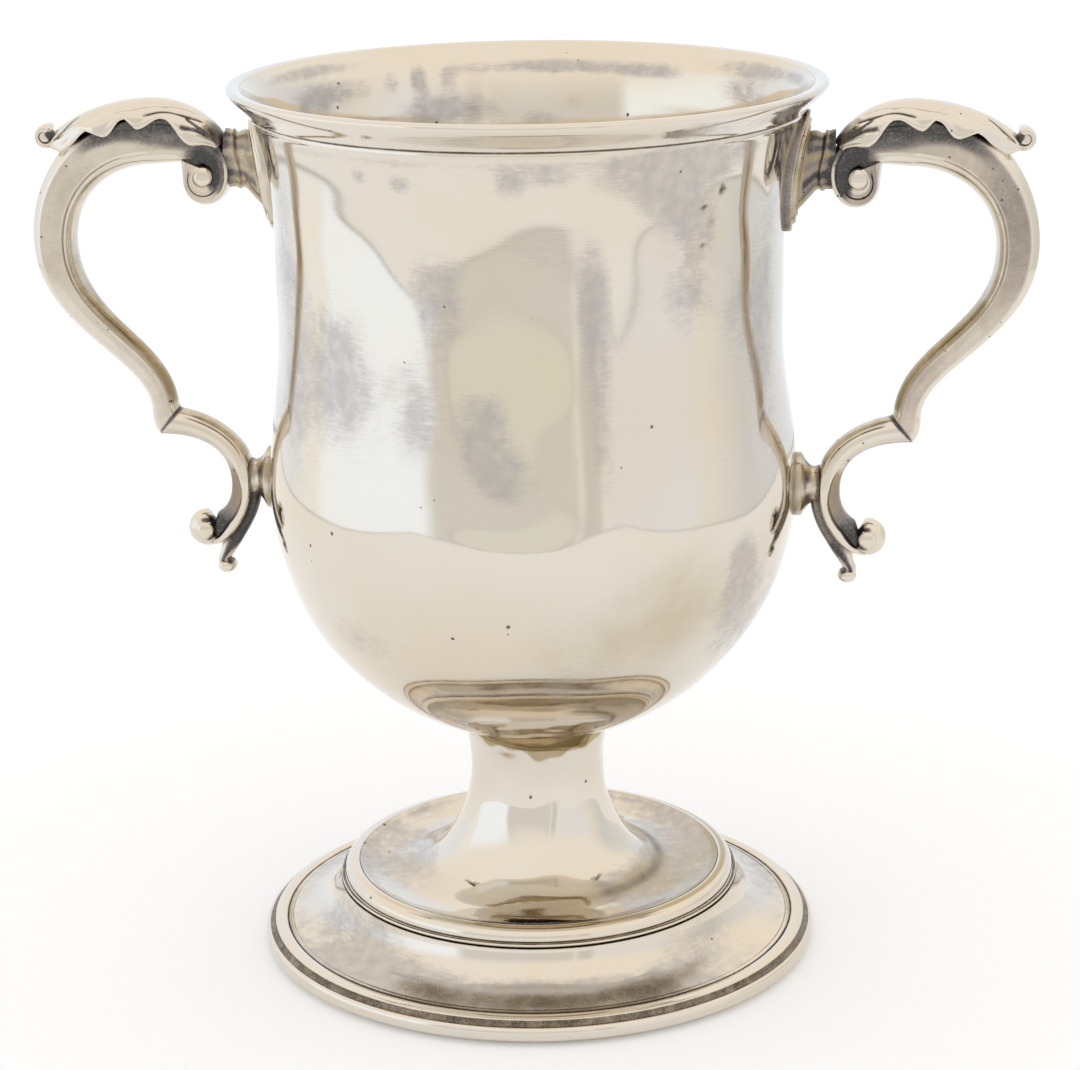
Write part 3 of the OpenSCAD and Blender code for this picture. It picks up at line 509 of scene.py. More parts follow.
skirt_film = 0.2 + 0.12*spot(skirt_r, band_r - 2.0, 1.5) + patches(skirt_turn, skirt_z, tarnish)
seam_wear = 0.75 + 0.25*np.sin(5*skirt_turn + 0.6)*np.sin(2*skirt_turn)
brown_marks = [(8, 5.0, 15, 0.6, 0.56), (-22, 5.1, 9, 0.7, 0.5), (33, 5.2, 8, 0.7, 0.54),
               (48, 6.0, 5, 0.8, 0.36), (-60, 6.4, 6, 1.0, 0.25), (160, 5.2, 30, 0.8, 0.3)]
skirt_brown = patches(skirt_turn, skirt_z, brown_marks)
skirt_dark = (seam_wear*(0.85*spot(skirt_r, band_r - 0.05, 0.2) + 0.8*spot(skirt_r, band_r - 0.85, 0.16))
              + 0.85*spot(skirt_z, SKIRT_Z, 0.16) + skirt_brown)
skirt_gold = 0.85*spot(skirt_r, band_r - 0.4, 0.35)*ease(np.sin(4*skirt_turn + 1)) + 0.5*skirt_brown
raised_piece("foot_skirt_raised", "foot_skirt", masked(skirt_points, skirt_dark, skirt_film, skirt_gold))

# Rim: a moulded wire that the cup stands on, with a low round band, a dark hollow and a round outer edge.
# The hollow is granular and full of old polish; the band and the outer wire are rubbed bright.
rim_in = band_r + SOLDER


def softened(points, radius, steps=5):
    """Closed outline with each corner turned into a short quadratic curve that starts and ends
    radius away from it."""
    p = np.asarray(points, float)
    before, after = np.roll(p, 1, axis=0) - p, np.roll(p, -1, axis=0) - p
    gaps = [np.linalg.norm(v, axis=1)[:, None] for v in (before, after)]
    start, end = (p + v/g*np.minimum(radius, 0.45*g) for v, g in zip((before, after), gaps))
    t = np.linspace(0, 1, steps)[None, :, None]
    curve = (1 - t)**2*start[:, None] + 2*t*(1 - t)*p[:, None] + t**2*end[:, None]
    return curve.reshape(-1, 2)


rim_profile = softened(np.concatenate([
    [[rim_in, BAND_Z - 0.2]],
    run([[rim_in + 0.1, BAND_Z - 0.05], [rim_in + 0.8, BAND_Z + 0.3], [FOOT_R - 2.5, BAND_Z + 0.25],
         [FOOT_R - 1.86, BAND_Z - 0.15]], 14),
    run(np.array([FOOT_R, BAND_Z]) + [[-1.8, -0.3], [-1.74, -1.0], [-1.4, -1.3], [-0.95, -1.3]], 8),
    run([[FOOT_R - 0.85, BAND_Z - 1.15], [FOOT_R - 0.3, BAND_Z - 1.05], [FOOT_R + 0.05, 2.5],
         [FOOT_R - 0.1, 1.2]], 12),
    [[FOOT_R - 1.9, 0], [rim_in + 0.6, 0], [rim_in, BAND_Z - WALL - 0.4]]]), 0.14, 4)
rim_points, rim_turn, rim_r, rim_z = turned(rim_profile)
in_groove = window(rim_r, FOOT_R - 1.9, 0.12, FOOT_R - 1.0, 0.14)
rim_groove = 0.64*in_groove*(rim_z > 2.5)
rim_seam, rim_film = 0.9*spot(rim_r, rim_in, 0.32), 0.12 + 0.12*np.sin(2*rim_turn)**2
rim_gold = 0.45*in_groove*ease(np.sin(3*rim_turn + 1))
raised_piece("foot_rim_wire", "foot_rim", masked(rim_points, rim_groove + rim_seam, rim_film, rim_gold))

# Upper scrolls: sand-cast in a front and a back half, hollow, filed up and soldered along the middle.
# The volute has a sunk web beside its eye, and the grip has a bevel outside and a rib inside.
# The web holds blue-black oxide, painted shadow and oxide lie under the leaf, and the edges are rubbed
# bright.
EYE_OUT, EYE_DROP, EYE_R, VOLUTE_R, VOLUTE_T = 10.2, 17.0, 1.9, 5.0, 8.0
SHOULDER_UP, SHOULDER_W, SHOULDER_T = 12.3, 10.4, 8.6
GRIP_OUT, GRIP_DROP, GRIP_W, GRIP_T = 31.5, 11.5, 7.5, 7.8
ELBOW_OUT, ELBOW_DROP, MITRE_W, ELBOW_T = 10.4, 47.5, 6.1, 5.6
FINE = 6
eye_x, eye_z = BELLY_R + EYE_OUT, CUP_H - EYE_DROP

cast_silver = silver(
    "cast_silver", bright=(0.745, 0.69, 0.60), warm=(0.725, 0.65, 0.54), film=(0.54, 0.45, 0.375),
    gilt=(0.33, 0.255, 0.125), thin_oxide_and_shade=(0.27, 0.235, 0.215), thick_oxide_and_shade=(0.075, 0.075, 0.074),
    polish=0.13, film_rough=0.22, film_break=(2.0, 0.5, 0.1, 0.12, 0.95),
    oxide_and_shade_break=(0.7, 0.2, 0.3, 0.0, 1.0), gilt_break=(1.6, 0.6, 0.25, 0.2, 0.8), pits=(0.55, 0.3))


def cast_piece(word, node, *grids, made="cast"):
    """A piece of the right or the left handle, in place of that handle's node."""
    silver_piece(f"{word}_{node}_{made}", f"{word}_{node}", "cast_silver", cast_silver, *grids)


def at(*xz):
    """A point of the handle's plane: out from the upper eye, and up from it."""
    return np.array(xz, float)


def toward(way, length):
    """A step of that length in the direction of way."""
    return length*at(*way)/math.hypot(*way)


def chain(runs, counts):
    """Curves joined end to end, FINE steps to each count."""
    return joined(*[run(points, FINE*count) for points, count in zip(runs, counts)])


def round_eye(middle, radius, start, stop, count):
    """Arc about middle, from the angle start to stop."""
    return middle + polar(radius, np.radians(np.linspace(start, stop, FINE*count + 1)))


def in_handle(side, flat, across_y):
    """Points of the handle's plane and their distance off it, set in place on the right (1) or the
    left (-1)."""
    x = side*(eye_x + flat[..., 0])
    return np.stack([x, across_y + 0*x, eye_z + flat[..., 1]], axis=-1)


SIDES = (("right", 1), ("left", -1))
tip = at(ELBOW_OUT, -ELBOW_DROP)
heel = tip + toward((-3.9, 4.7), MITRE_W)
sway = tip + at(8, 14.5)
sway_in = sway + toward((-3.7, 4.1), 5.5)
shoulder = at(VOLUTE_R + 4.4, SHOULDER_UP)
shoulder_in = shoulder + at(-0.5, -SHOULDER_W)
grip = at(GRIP_OUT, -GRIP_DROP)
grip_in = grip + at(-GRIP_W, -1)
scroll_counts = (2, 5, 5, 9, 13, 9, 7, 2)
coil_turns = VOLUTE_R*np.array([
    [[0.82, 0.64], [0.82, 0.4], [0.79, 0.1], [0.76, -0.1]],
    [[0.76, -0.1], [0.76, -0.62], [0.44, -1.04], [-0.06, -1.04]],
    [[-0.06, -1.04], [-0.62, -1.04], [-1, -0.48], [-1, 0.2]]])
scroll_outer = chain([
    *coil_turns,
    [coil_turns[-1, -1], VOLUTE_R*at(-1, 1.3), shoulder - at(8.5, 0), shoulder],
    [shoulder, shoulder + at(12, 0), grip + at(0, 13), grip],
    [grip, grip + at(0, -10), sway + at(6.5, 5.8), sway],
    [sway, sway - at(4.5, 4), tip + at(1.3, 7.8), tip + at(1.3, 4.3)],
    [tip + at(1.3, 4.3), tip + at(1.3, 2.5), tip + at(0.9, 1.1), tip]], scroll_counts)
scroll_inner = joined(
    round_eye(at(0, 0), 0.75*EYE_R, 110, -90, 7), round_eye(at(0, 0), 0.75*EYE_R, -90, -180, 5),
    chain([
        [at(-0.75*EYE_R, 0), at(-0.75*EYE_R, 2.6), shoulder_in + at(-6, 0.7), shoulder_in],
        [shoulder_in, shoulder_in + at(7, 0), grip_in + at(0, 10), grip_in],
        [grip_in, grip_in + at(0, -8), sway_in + at(4.2, 4.1), sway_in],
        [sway_in, sway_in - at(4, 3.8), heel + at(1.2, 6.6), heel + at(0.4, 1.6)],
        [heel + at(0.4, 1.6), heel + at(0.3, 1), heel + at(0.2, 0.5), heel]], scroll_counts[3:]))
volute_t, shoulder_t, grip_t, elbow_t = VOLUTE_T/2, SHOULDER_T/2, GRIP_T/2, ELBOW_T/2
scroll_half = chain([
    [0.88*volute_t, 0.92*volute_t, volute_t, volute_t], [volute_t]*4, [volute_t]*4,
    [volute_t]*2 + [shoulder_t]*2, [shoulder_t]*2 + [grip_t]*2, [grip_t]*2 + [1.14*elbow_t]*2,
    [1.14*elbow_t, 1.08*elbow_t, elbow_t, elbow_t], [elbow_t]*3 + [0.94*elbow_t]], scroll_counts)
even = np.linspace(0, 1, 65)
across = (0.5*even + 0.25*(1 - np.cos(np.pi*even)))[None, :]


def stations(line):
    """Place of each point along a line, as a column; FINE steps to each count."""
    return (np.arange(len(line))/FINE)[:, None]


def between(first, second, share):
    """Grid from one line to another: first (1 - share) + second share."""
    return first[:, None]*(1 - share[..., None]) + second[:, None]*share[..., None]


def quarter(k):
    """Rise of a quarter circle from 0 at k = 0 to 1 at k = 1."""
    return np.sqrt(1 - (1 - np.clip(k, 0, 1))**2)


def bevelled(w):
    """Half section from the outer edge (0) to the inner (1): a narrow spine, a bevel, a flat side and
    a round end."""
    bevel, flat = 0.46 + 2.7*w, 1 - 0.2*(w - 0.5)**2
    side = -np.log(np.exp(-22*bevel) + np.exp(-22*flat))/22
    return side*quarter(w/0.025)*quarter((1 - w)/0.22)


def rounded(w):
    """Half section of a round strap: the square root of 4w(1 - w)."""
    return np.sqrt(np.clip(4*w*(1 - w), 0, 1))


def sunk_face(w, rim, strap, web):
    """Half section with a round edge of width rim, a strap of that width beside it and a web sunk to
    that share."""
    return quarter(w/rim)*(1 - (1 - web)*ease((w - strap)/0.1))*quarter((1 - w)/0.12)


station = stations(scroll_outer)
in_volute = 1 - ease((station - 17)/7)
in_arm = ease((station - 36)/7)
rib = window(station, 20, 6, 49.5, 1.5)
coil_edge = 0.09 + 0.2*(1 - ease((station - 5)/6))
coil = sunk_face(across, coil_edge, 0.22, 1 - 0.36*ease((station - 8)/5))
arm = bevelled(across)*(1 - in_arm) + rounded(across)*in_arm
scroll_y = scroll_half[:, None]*(arm*(1 - in_volute) + coil*in_volute)
coil_line = spot(across, 0.5, 0.035)*window(station, 0.6, 1.5, 8, 2.5)
scroll_y = scroll_y - 0.4*rib*spot(across, 0.775, 0.024) - 0.3*coil_line
scroll_flat = between(scroll_outer, scroll_inner, across)

# Oxide: the web of the volute, the coil's line, the rib's line and the mitre; under the leaf, painted
# shadow with oxide.
in_web = window(station, 7.5, 3, 15.8, 3.6)
web_dark = in_web*ease((across - 0.23)/0.07)*(0.62 + 0.38*ease((across - 0.35)/0.35))
under_leaf = window(station, 11, 4, 24.5, 4)
shade_edge = 0.8 - 0.28*ease((station - 19)/7)
leaf_shade = 0.6*(1 - ease((across - shade_edge + 0.22)/0.26)) + 0.17*(1 - ease((across - 0.3)/0.25))
leaf_shade = under_leaf*leaf_shade
mitre_dark = ease((station - 51.75 + 0.5*across)/0.3)*ease((across - 0.03)/0.1)
rib_dark = 0.45*rib*spot(across, 0.775, 0.02)
scroll_oxide_and_shade = np.maximum(web_dark, leaf_shade) + 0.5*coil_line + rib_dark + 0.75*mitre_dark
rib_gold = rib*ease((across - 0.79)/0.03)*(0.35 + 0.35*ease((station - 34)/6))
scroll_flank = window(across, 0.16, 0.12, 0.7, 0.06)*(1 - 0.4*in_arm)
scroll_flank = scroll_flank*(0.8 + 0.2*np.sin(0.42*station + 0.8))


def volute_eye(middle, radius, stand, face, side):
    """Domed button turned about the Y direction: profile of (radius, distance off the middle plane)."""
    g = np.linspace(0, np.pi/2, 9)
    dome = np.stack([radius*np.sin(g), stand - 0.4*radius*(1 - np.cos(g))], axis=1)
    profile = np.concatenate([dome, [[radius, 0.55*stand], [1.05*radius, 0.5*stand], [0, 0.5*stand]]])
    reach, height = profile[:, :1], profile[:, 1:]
    points = in_handle(side, middle + polar(reach, full_turn(40)), face*height)
    return masked(points, 0.8*ease((stand - height - 0.42*radius)/0.5), 0.15)


def lozenge(middle, half_x, half_z, half_y, fullness, side):
    """Rounded drum whose axis is across the handle: at latitude b its two half widths are scaled by
    cos(b) to the power fullness, and it stands half_y sin(b) off the middle plane. Returns its points,
    turn and latitude."""
    turn, lat = full_turn(48), np.linspace(-np.pi/2, np.pi/2, 31)[:, None]
    flat = middle + [half_x, half_z]*polar(np.clip(np.cos(lat), 0, 1)**fullness, turn)
    return in_handle(side, flat, half_y*np.sin(lat) + 0*turn), turn, lat


# The right handle has dulled more than the left, which is held and rubbed.
DULLED = {1: (1.0, 0.42), -1: (0.5, 0.0)}
for word, side in SIDES:
    film, brown = DULLED[side]
    darkened = scroll_oxide_and_shade + brown*scroll_flank*(1 - 0.8*under_leaf)
    for half, face in (("front", -1), ("back", 1)):
        skin = in_handle(side, scroll_flat, face*scroll_y)
        skin = capped(masked(skin, darkened, 0.15 + film*scroll_flank, rib_gold))
        eye = volute_eye(at(0, 0), EYE_R, 0.5*VOLUTE_T, face, side)
        bridge = lozenge(at(1.7, 2.5), 2.3, 1.0, 1.3, 0.5, side)[0] + [0, 1.35*face, 0]
        cast_piece(word, f"scroll_{half}", skin, eye, masked(bridge, 0.9, 0.2))

# Leaf caps: a cast leaf laid over the shoulder of each scroll, with scalloped edges and a rolled tip.
# Its veins are chased in as thin dark lines, and its lobes are worn bright.
LEAF_T = 1.2
leaf_root = at(-0.84*VOLUTE_R, 1.08*VOLUTE_R)
leaf_end, roll_middle = at(28.6, 5.1), at(28.3, 6.9)
leaf_ridge = joined(
    run([leaf_root + at(0, 0.8), leaf_root + at(3.6, 7), shoulder + at(-3.5, LEAF_T + 0.6),
         shoulder + at(2, LEAF_T)], 120),
    run([shoulder + at(2, LEAF_T), shoulder + at(10.1, LEAF_T - 0.6), leaf_end + at(-2.4, 3.9),
         leaf_end + at(0, 0.7)], 136))
leaf_seat = joined(
    run([leaf_root, leaf_root + at(2.5, 4.2), shoulder + at(-6.5, 0.1), shoulder + at(1, 0.1)], 120),
    run([shoulder + at(1, 0.1), shoulder + at(8, -0.1), leaf_end + at(-6.7, 2.4), leaf_end], 136))
along = np.linspace(0, 1, len(leaf_ridge))
leaf_lift = SOLDER + 0.75 - 0.53*ease((along - 0.15)/0.3)
leaf_bed = leaf_seat + np.stack([0*along, leaf_lift], axis=1)
leaf_notches = [-0.14, 0.366, 0.551, 0.772, 1.02]
lobe_place = np.interp(along, leaf_notches, range(5)) % 1
leaf_lobe = np.sqrt(np.sin(np.pi*lobe_place**1.4)**2 + 0.06)
leaf_lobe = (leaf_lobe - leaf_lobe.min())/(leaf_lobe.max() - leaf_lobe.min())
leaf_drop = 1.8 - 1.2*(1 - ease(along/0.15)) - 0.7*ease((along - 0.55)/0.25)
leaf_drop = leaf_drop + (2.9 - 0.8*ease((along - 0.3)/0.1) - 0.9*ease((along - 0.7)/0.2))*leaf_lobe
leaf_drop = leaf_drop*(1 - 0.8*ease((along - 0.93)/0.07))
leaf_edge = leaf_bed - leaf_drop[:, None]*left_of(leaf_seat)
leaf_b = (0.5*SHOULDER_T + 4*SOLDER)*(1 - 0.66*ease((along - 0.68)/0.32))*(0.76 + 0.24*ease(along/0.16))
bend = np.radians(np.linspace(-90, 90, 73))[None, :]
lean = np.degrees(np.abs(bend)) + 0*along[:, None]
leaf_at = along[:, None] + 0*lean
leaf_deep = np.linalg.norm(leaf_ridge - leaf_edge, axis=1)[:, None]


def chased(stops, depths, width):
    """A line cut along the leaf: at each place along it, how far below the ridge it runs, turned into
    a lean."""
    share = np.clip(1 - np.interp(leaf_at, stops, depths)/leaf_deep, 0, 1)
    line = spot(lean, np.degrees(np.arccos(share)), width)
    return line*window(leaf_at, stops[0], 0.03, stops[-1] - 0.04, 0.04)


veins = (chased([0.11, 0.16, 0.2, 0.26, 0.31, 0.366, 0.4, 0.46],
                [0.6, 0.88, 1.1, 1.4, 1.68, 2.05, 2.35, 2.9], 3.2)
         + 0.5*chased([0.15, 0.22, 0.32, 0.44, 0.52, 0.6], [0.3, 0.45, 0.75, 1.15, 1.5, 1.9], 2.0)
         + 0.9*chased([0.72, 0.78, 0.84, 0.9, 0.95], [0.25, 0.45, 0.7, 0.95, 1.1], 2.6)
         + chased([0.05, 0.1, 0.15, 0.2, 0.26], [1.3, 1.9, 2.5, 3.1, 3.6], 5.0))
veins = np.minimum(veins, 1)
leaf_up = left_of(leaf_ridge)[:, None]
leaf_swell = 0.5*leaf_lobe[:, None]*spot(lean, 66, 13)*(1 - ease((leaf_at - 0.85)/0.1))
leaf_hollow = 0.32*spot(lean, 40, 9)*window(leaf_at, 0.12, 0.1, 0.84, 0.1)
leaf_raise = (leaf_swell - leaf_hollow + 0.28*spot(lean, 84, 6) - 0.28*veins)[..., None]
rise = np.cos(bend)
leaf_over = between(leaf_edge, leaf_ridge, rise) + leaf_raise*rise[..., None]*leaf_up
leaf_over_y = (leaf_b[:, None] + 0.65 + leaf_raise[..., 0])*np.sin(bend)
leaf_below = between(leaf_edge, leaf_bed, rise)
leaf_below_y = leaf_b[:, None]*np.sin(bend)
leaf_flat = np.concatenate([leaf_over, leaf_below[:, ::-1]], axis=1)
leaf_y = np.concatenate([leaf_over_y, leaf_below_y[:, ::-1]], axis=1)
# The leaf's underside is painted dark as the shadow beneath its edge, and roll_shade is painted shade
# where the leaf runs into the roll.
root_dark = 0.6*(1 - ease((leaf_at - 0.05)/0.1))*(1 - ease((lean - 60)/20))
roll_shade = 0.8*ease((leaf_at - 0.93)/0.05)*(1 - ease((lean - 45)/25))
leaf_oxide_and_shade = np.concatenate([0.85*veins + root_dark + roll_shade, 0.9 + 0*veins], axis=1)

# The rolled tip: a strap carried round an arc, thickening to a bead at its end. Its inside and the
# leaf side of a core set within it are painted dark as the shade in the roll's hollow.
roll_at = np.linspace(0, 1, 40)[:, None]
roll_turn = np.radians(-140 + 275*roll_at)
roll_ring = full_turn(40)
roll_end = quarter((1 - roll_at)/0.12)
roll_thick = (0.55 + 0.3*ease((roll_at - 0.6)/0.3))*roll_end
full_cos, full_sin = (np.sign(w)*np.abs(w)**0.62 for w in (np.cos(roll_ring), np.sin(roll_ring)))
roll_reach = 1.75 - 0.55*roll_at + roll_thick*full_cos
roll_flat = roll_middle + polar(roll_reach, roll_turn)
roll_y = (2.1 + 0.1*roll_at)*(0.55 + 0.45*roll_end)*full_sin
roll_inside_shade = 0.85*ease(-1.6*np.cos(roll_ring) - 0.4)*(1 - ease((roll_at - 0.74)/0.16))
for word, side in SIDES:
    leaf = masked(in_handle(side, leaf_flat, leaf_y), leaf_oxide_and_shade, 0.2)
    roll = masked(in_handle(side, roll_flat, roll_y), roll_inside_shade, 0.1)
    core, core_turn, core_lat = lozenge(roll_middle + at(0.1, -0.1), 1.45, 1.4, 1.85, 0.4, side)
    core_left = -np.cos(core_turn - math.radians(-25))*np.cos(core_lat)**0.4
    shaded_core = masked(core, 0.9*ease((core_left - 0.1)/0.35), 0.2)
    cast_piece(word, "leaf_cap", capped(leaf), capped(roll), shaded_core)

# Upper sockets: a cast drop-shaped foot for each handle, its flange curved to the bowl and soldered on.
# Beads and grooves run round it, and it draws in to an oval throat behind the volute, gold-brown with
# old stain.
FLANGE_H, FLANGE_W, THROAT_H, THROAT_W = 21.4, 13.0, 10.4, 7.6
flange_mid, throat_mid = eye_z + 11.7 - FLANGE_H/2, eye_z + 3
ring_turn = full_turn(96)[0]
drop_narrow = np.where(np.sin(ring_turn) < 0, 1 + 0.42*np.sin(ring_turn), 1)
flange = np.stack([0.5*FLANGE_W*np.cos(ring_turn)*drop_narrow, 0.5*FLANGE_H*np.sin(ring_turn)], axis=1)
throat = np.stack([0.5*THROAT_W*np.cos(ring_turn), throat_mid + 0.5*THROAT_H*np.sin(ring_turn)], axis=1)


def bowl_x(y, z):
    """How far out the bowl's side is, along the handle, at width y and height z."""
    return np.sqrt(np.interp(z, bowl_wall[:, 1], bowl_wall[:, 0])**2 - y*y)


# Each step is (share of the flange's size, height off the bowl): a foot, then three beads with grooves
# between them.
flange_steps = np.array([
    [0.4, -0.2], [1, -0.2], [1, 0.85], [0.99, 1.12], [0.965, 1.26], [0.935, 1.3], [0.915, 1.22],
    [0.905, 0.98], [0.895, 0.98], [0.885, 1.25], [0.87, 1.62], [0.845, 1.85], [0.82, 1.86], [0.795, 1.7],
    [0.782, 1.52], [0.772, 1.5], [0.762, 1.66], [0.745, 1.95], [0.72, 2.1], [0.695, 2.08], [0.675, 1.94],
    [0.662, 1.9], [0.65, 2.05]])
flange_y = flange_steps[:, :1]*flange[None, :, 0]
flange_z = flange_mid + flange_steps[:, :1]*flange[None, :, 1]
flange_rings = np.stack([bowl_x(flange_y, flange_z) + flange_steps[:, 1:], flange_y, flange_z], axis=-1)
volute_run = scroll_outer[8*FINE:18*FINE + 1]
volute_back = np.interp(throat[:, 1], eye_z + volute_run[:, 1], eye_x + volute_run[:, 0]) + 0.25
throat_far = np.minimum(volute_back, eye_x + leaf_root[0] + 0.2)
throat_ring = np.stack([throat_far, throat[:, 0], throat[:, 1]], axis=-1)
draw_in = np.linspace(0, 1, 30)[1:, None, None]
drawn = 1 - (1 - draw_in)**2.2
neck_rings = np.concatenate([
    flange_rings[-1, :, :1]*(1 - draw_in) + throat_ring[:, :1]*draw_in,
    flange_rings[-1, :, 1:]*(1 - drawn) + throat_ring[:, 1:]*drawn], axis=-1)
neck_bead = 0.09*spot(draw_in, 0.66, 0.07) - 0.12*spot(draw_in, 0.56, 0.2)
neck_rings[..., 1:] += (neck_rings[..., 1:] - [0, throat_mid])*neck_bead
socket_rings = np.concatenate([flange_rings, neck_rings])
step_number = np.arange(len(socket_rings))[:, None] + 0*ring_turn
on_neck = ease((step_number - len(flange_steps))/3)
streaky = 0.5 + 0.5*np.sin(9*ring_turn + 1.0)*np.sin(4*ring_turn)
socket_grooves = [(7.5, 1.0, 0.75), (15, 1.0, 0.7), (21, 1.1, 0.7), (1.3, 0.9, 0.5)]
socket_oxide = sum(depth*spot(step_number, step, half) for step, half, depth in socket_grooves)
socket_oxide = socket_oxide + on_neck*(0.45*spot(step_number, 50, 3.5) + 0.75*streaky)
socket_gilt = 0.35 + 0.45*ease((step_number - 10)/6)
for word, side in SIDES:
    darkened = socket_oxide*(0.92 + 0.08*side) + 0.09*(1 + side)
    rings = masked(socket_rings*[side, 1, 1], darkened, 0.25, socket_gilt + 0.2*side)
    cast_piece(word, "upper_socket", capped(rings))

# Lower scrolls: cast solid and mitred to the upper scrolls. A round bright strap curls into a knob with
# an eye, and from the socket down to the knob a sunk channel runs beside it, olive-brown and pitted.
BACK_IN, BACK_W, BACK_T, SOCKET_DROP = 6.6, 4.2, 6.0, 8.0
LOW_EYE_DROP, LOW_EYE_OUT, BALL_R, LOW_EYE_R = 9.7, 2.6, 3.4, 1.6
seat_w = -ELBOW_DROP - SOCKET_DROP
low_back, low_in = at(-BACK_IN, seat_w), at(BACK_W - BACK_IN, seat_w - 1)
low_eye = at(LOW_EYE_OUT, seat_w - LOW_EYE_DROP)
low_counts = (11, 14)
low_outer = chain([
    [heel, heel + at(-4.1, -0.6), low_back + at(0, 8.5), low_back],
    [low_back, low_back + at(0, -7.5), low_eye + at(-4.7, -BALL_R), low_eye + at(0, -BALL_R)]],
    low_counts)
low_inner = chain([
    [tip, tip + at(-7.5, 0.1), low_in + at(0, 6.5), low_in],
    [low_in, low_in + at(0, -2.5), low_eye + at(-4.2, 4.2), low_eye + at(-2.2, 2.9)],
    [low_eye + at(-2.2, 2.9), low_eye + at(-1.6, 2), low_eye + at(-1.5, -0.75*LOW_EYE_R),
     low_eye + at(0, -0.75*LOW_EYE_R)]], (low_counts[0], 7, 7))
back_t = BACK_T/2
low_half = chain([[0.94*elbow_t, elbow_t, elbow_t, back_t], [back_t]*4], low_counts)
low_station = stations(low_outer)
low_half = low_half*(1 - 0.55*ease((low_station[:, 0] - 20)/5))
in_channel = ease((low_station - 6.5)/5)
strap_w = 0.72 - 0.34*ease((low_station - 7)/7)
channel = sunk_face(across, 0.2, strap_w, 0.6)
low_y = low_half[:, None]*(rounded(across)**0.85*(1 - in_channel) + channel*in_channel)
low_line = spot(across, 0.22, 0.022)*window(low_station, 0.8, 1.2, 7.5, 2.5)
low_y = low_y - 0.2*low_line
low_flat = between(low_outer, low_inner, across)
channel_dark = in_channel*ease((across - strap_w - 0.02)/0.06)
# Oxide in the channel, line and mitre; the last term is painted shadow along the strap's inner edge above
# the channel.
low_oxide_and_shade = (channel_dark*(0.36 + 0.56*ease((low_station - 14)/6)) + 0.55*low_line
             + 0.7*ease((0.55 - 0.45*across - low_station)/0.3)*(1 - ease((across - 0.87)/0.1))
             + 0.5*(1 - in_channel)*ease((across - 0.84)/0.1))
low_gold = channel_dark*(1 - ease((low_station - 17)/5))
low_gold = low_gold + 0.5*ease((0.16 - across)/0.05)*(low_station < 9)
low_film = 0.2 + 0.3*ease((across - 0.6)/0.2)


def both_sides(grid):
    """Half section's values carried on round the far side, without the two edges that they share."""
    return np.concatenate([grid, grid[:, -2:0:-1]], axis=1)


both_y = np.concatenate([low_y, -low_y[:, -2:0:-1]], axis=1)
both_marks = [both_sides(m + 0*low_y) for m in (low_oxide_and_shade, low_film, low_gold)]

# The knob: a flattened ball about the low eye, drawn in on the side where the channel runs up to it.
knob_turn, knob_lat = full_turn(72), np.linspace(-np.pi/2, np.pi/2, 45)[:, None]
from_channel = np.abs(off_angle(knob_turn, 165))
knob_r = BALL_R - 1.35*ease((78 - from_channel)/44)
knob_reach = knob_r*np.cos(knob_lat)**0.72
knob_flat = low_eye + polar(knob_reach, knob_turn)
crescent = spot(knob_reach, LOW_EYE_R + 0.25, 0.4)*ease((118 - from_channel)/50)
knob_y = 2.75*np.sin(knob_lat)*(1 - 0.16*crescent)
knob_oxide = 0.95*crescent + 0.6*ease((62 - from_channel)/30)*ease((knob_reach - 1.5)/0.3)
for word, side in SIDES:
    skin = masked(in_handle(side, both_sides(low_flat), both_y), *both_marks)
    knob = masked(in_handle(side, knob_flat, knob_y), knob_oxide, 0.15)
    eyes = [volute_eye(low_eye, LOW_EYE_R, 0.54*BACK_T, face, side) for face in (-1, 1)]
    cast_piece(word, "lower_scroll", capped(skin), capped(knob), *eyes)

# Tail leaves: a cast leaf soldered down the back of each lower scroll, painted black as shade with oxide
# where it lies against it.
# Below the scroll it stands free, with a dark channel down its side, and ends in a rolled knob.
TAIL_T, TAIL_W = 1.7, 4.0
tail_bend = low_eye + at(-3.1, -5.5)
tail_line = chain([
    [low_back + at(0.45 - TAIL_T/2, -2), low_back + at(-0.3, -8), low_eye + at(-4.8, -2.7), tail_bend],
    [tail_bend, low_eye + at(-2.75, -6.3), low_eye + at(-2.75, -6.9), low_eye + at(-3.2, -7.3)]], (11, 4))
tail_station = stations(tail_line)
tail_end = quarter((15 - tail_station)/1.6)
tail_a = TAIL_T*(0.42 + 0.24*ease((tail_station - 5)/5))*(1 - 0.12*ease((tail_station - 10)/4))*tail_end
tail_b = 0.5*TAIL_W*(1 - 0.2*tail_station/15)*(0.4 + 0.6*tail_end)
tail_turn = full_turn(48)
tail_channel = spot(np.cos(tail_turn), 0, 0.42)*window(tail_station, 5, 4, 13, 1.5)
tail_web = 1 - ease((tail_station - 8.5)/2.5)
tail_reach = tail_a*np.cos(tail_turn) - 1.0*tail_web*np.clip(-np.cos(tail_turn), 0, 1)
tail_flat = tail_line[:, None] - tail_reach[..., None]*left_of(tail_line)[:, None]
tail_y = tail_b*np.sin(tail_turn)*(1 - 0.22*tail_channel)
tail_seat = 1 - ease((tail_station - 6)/4) + 0*tail_turn
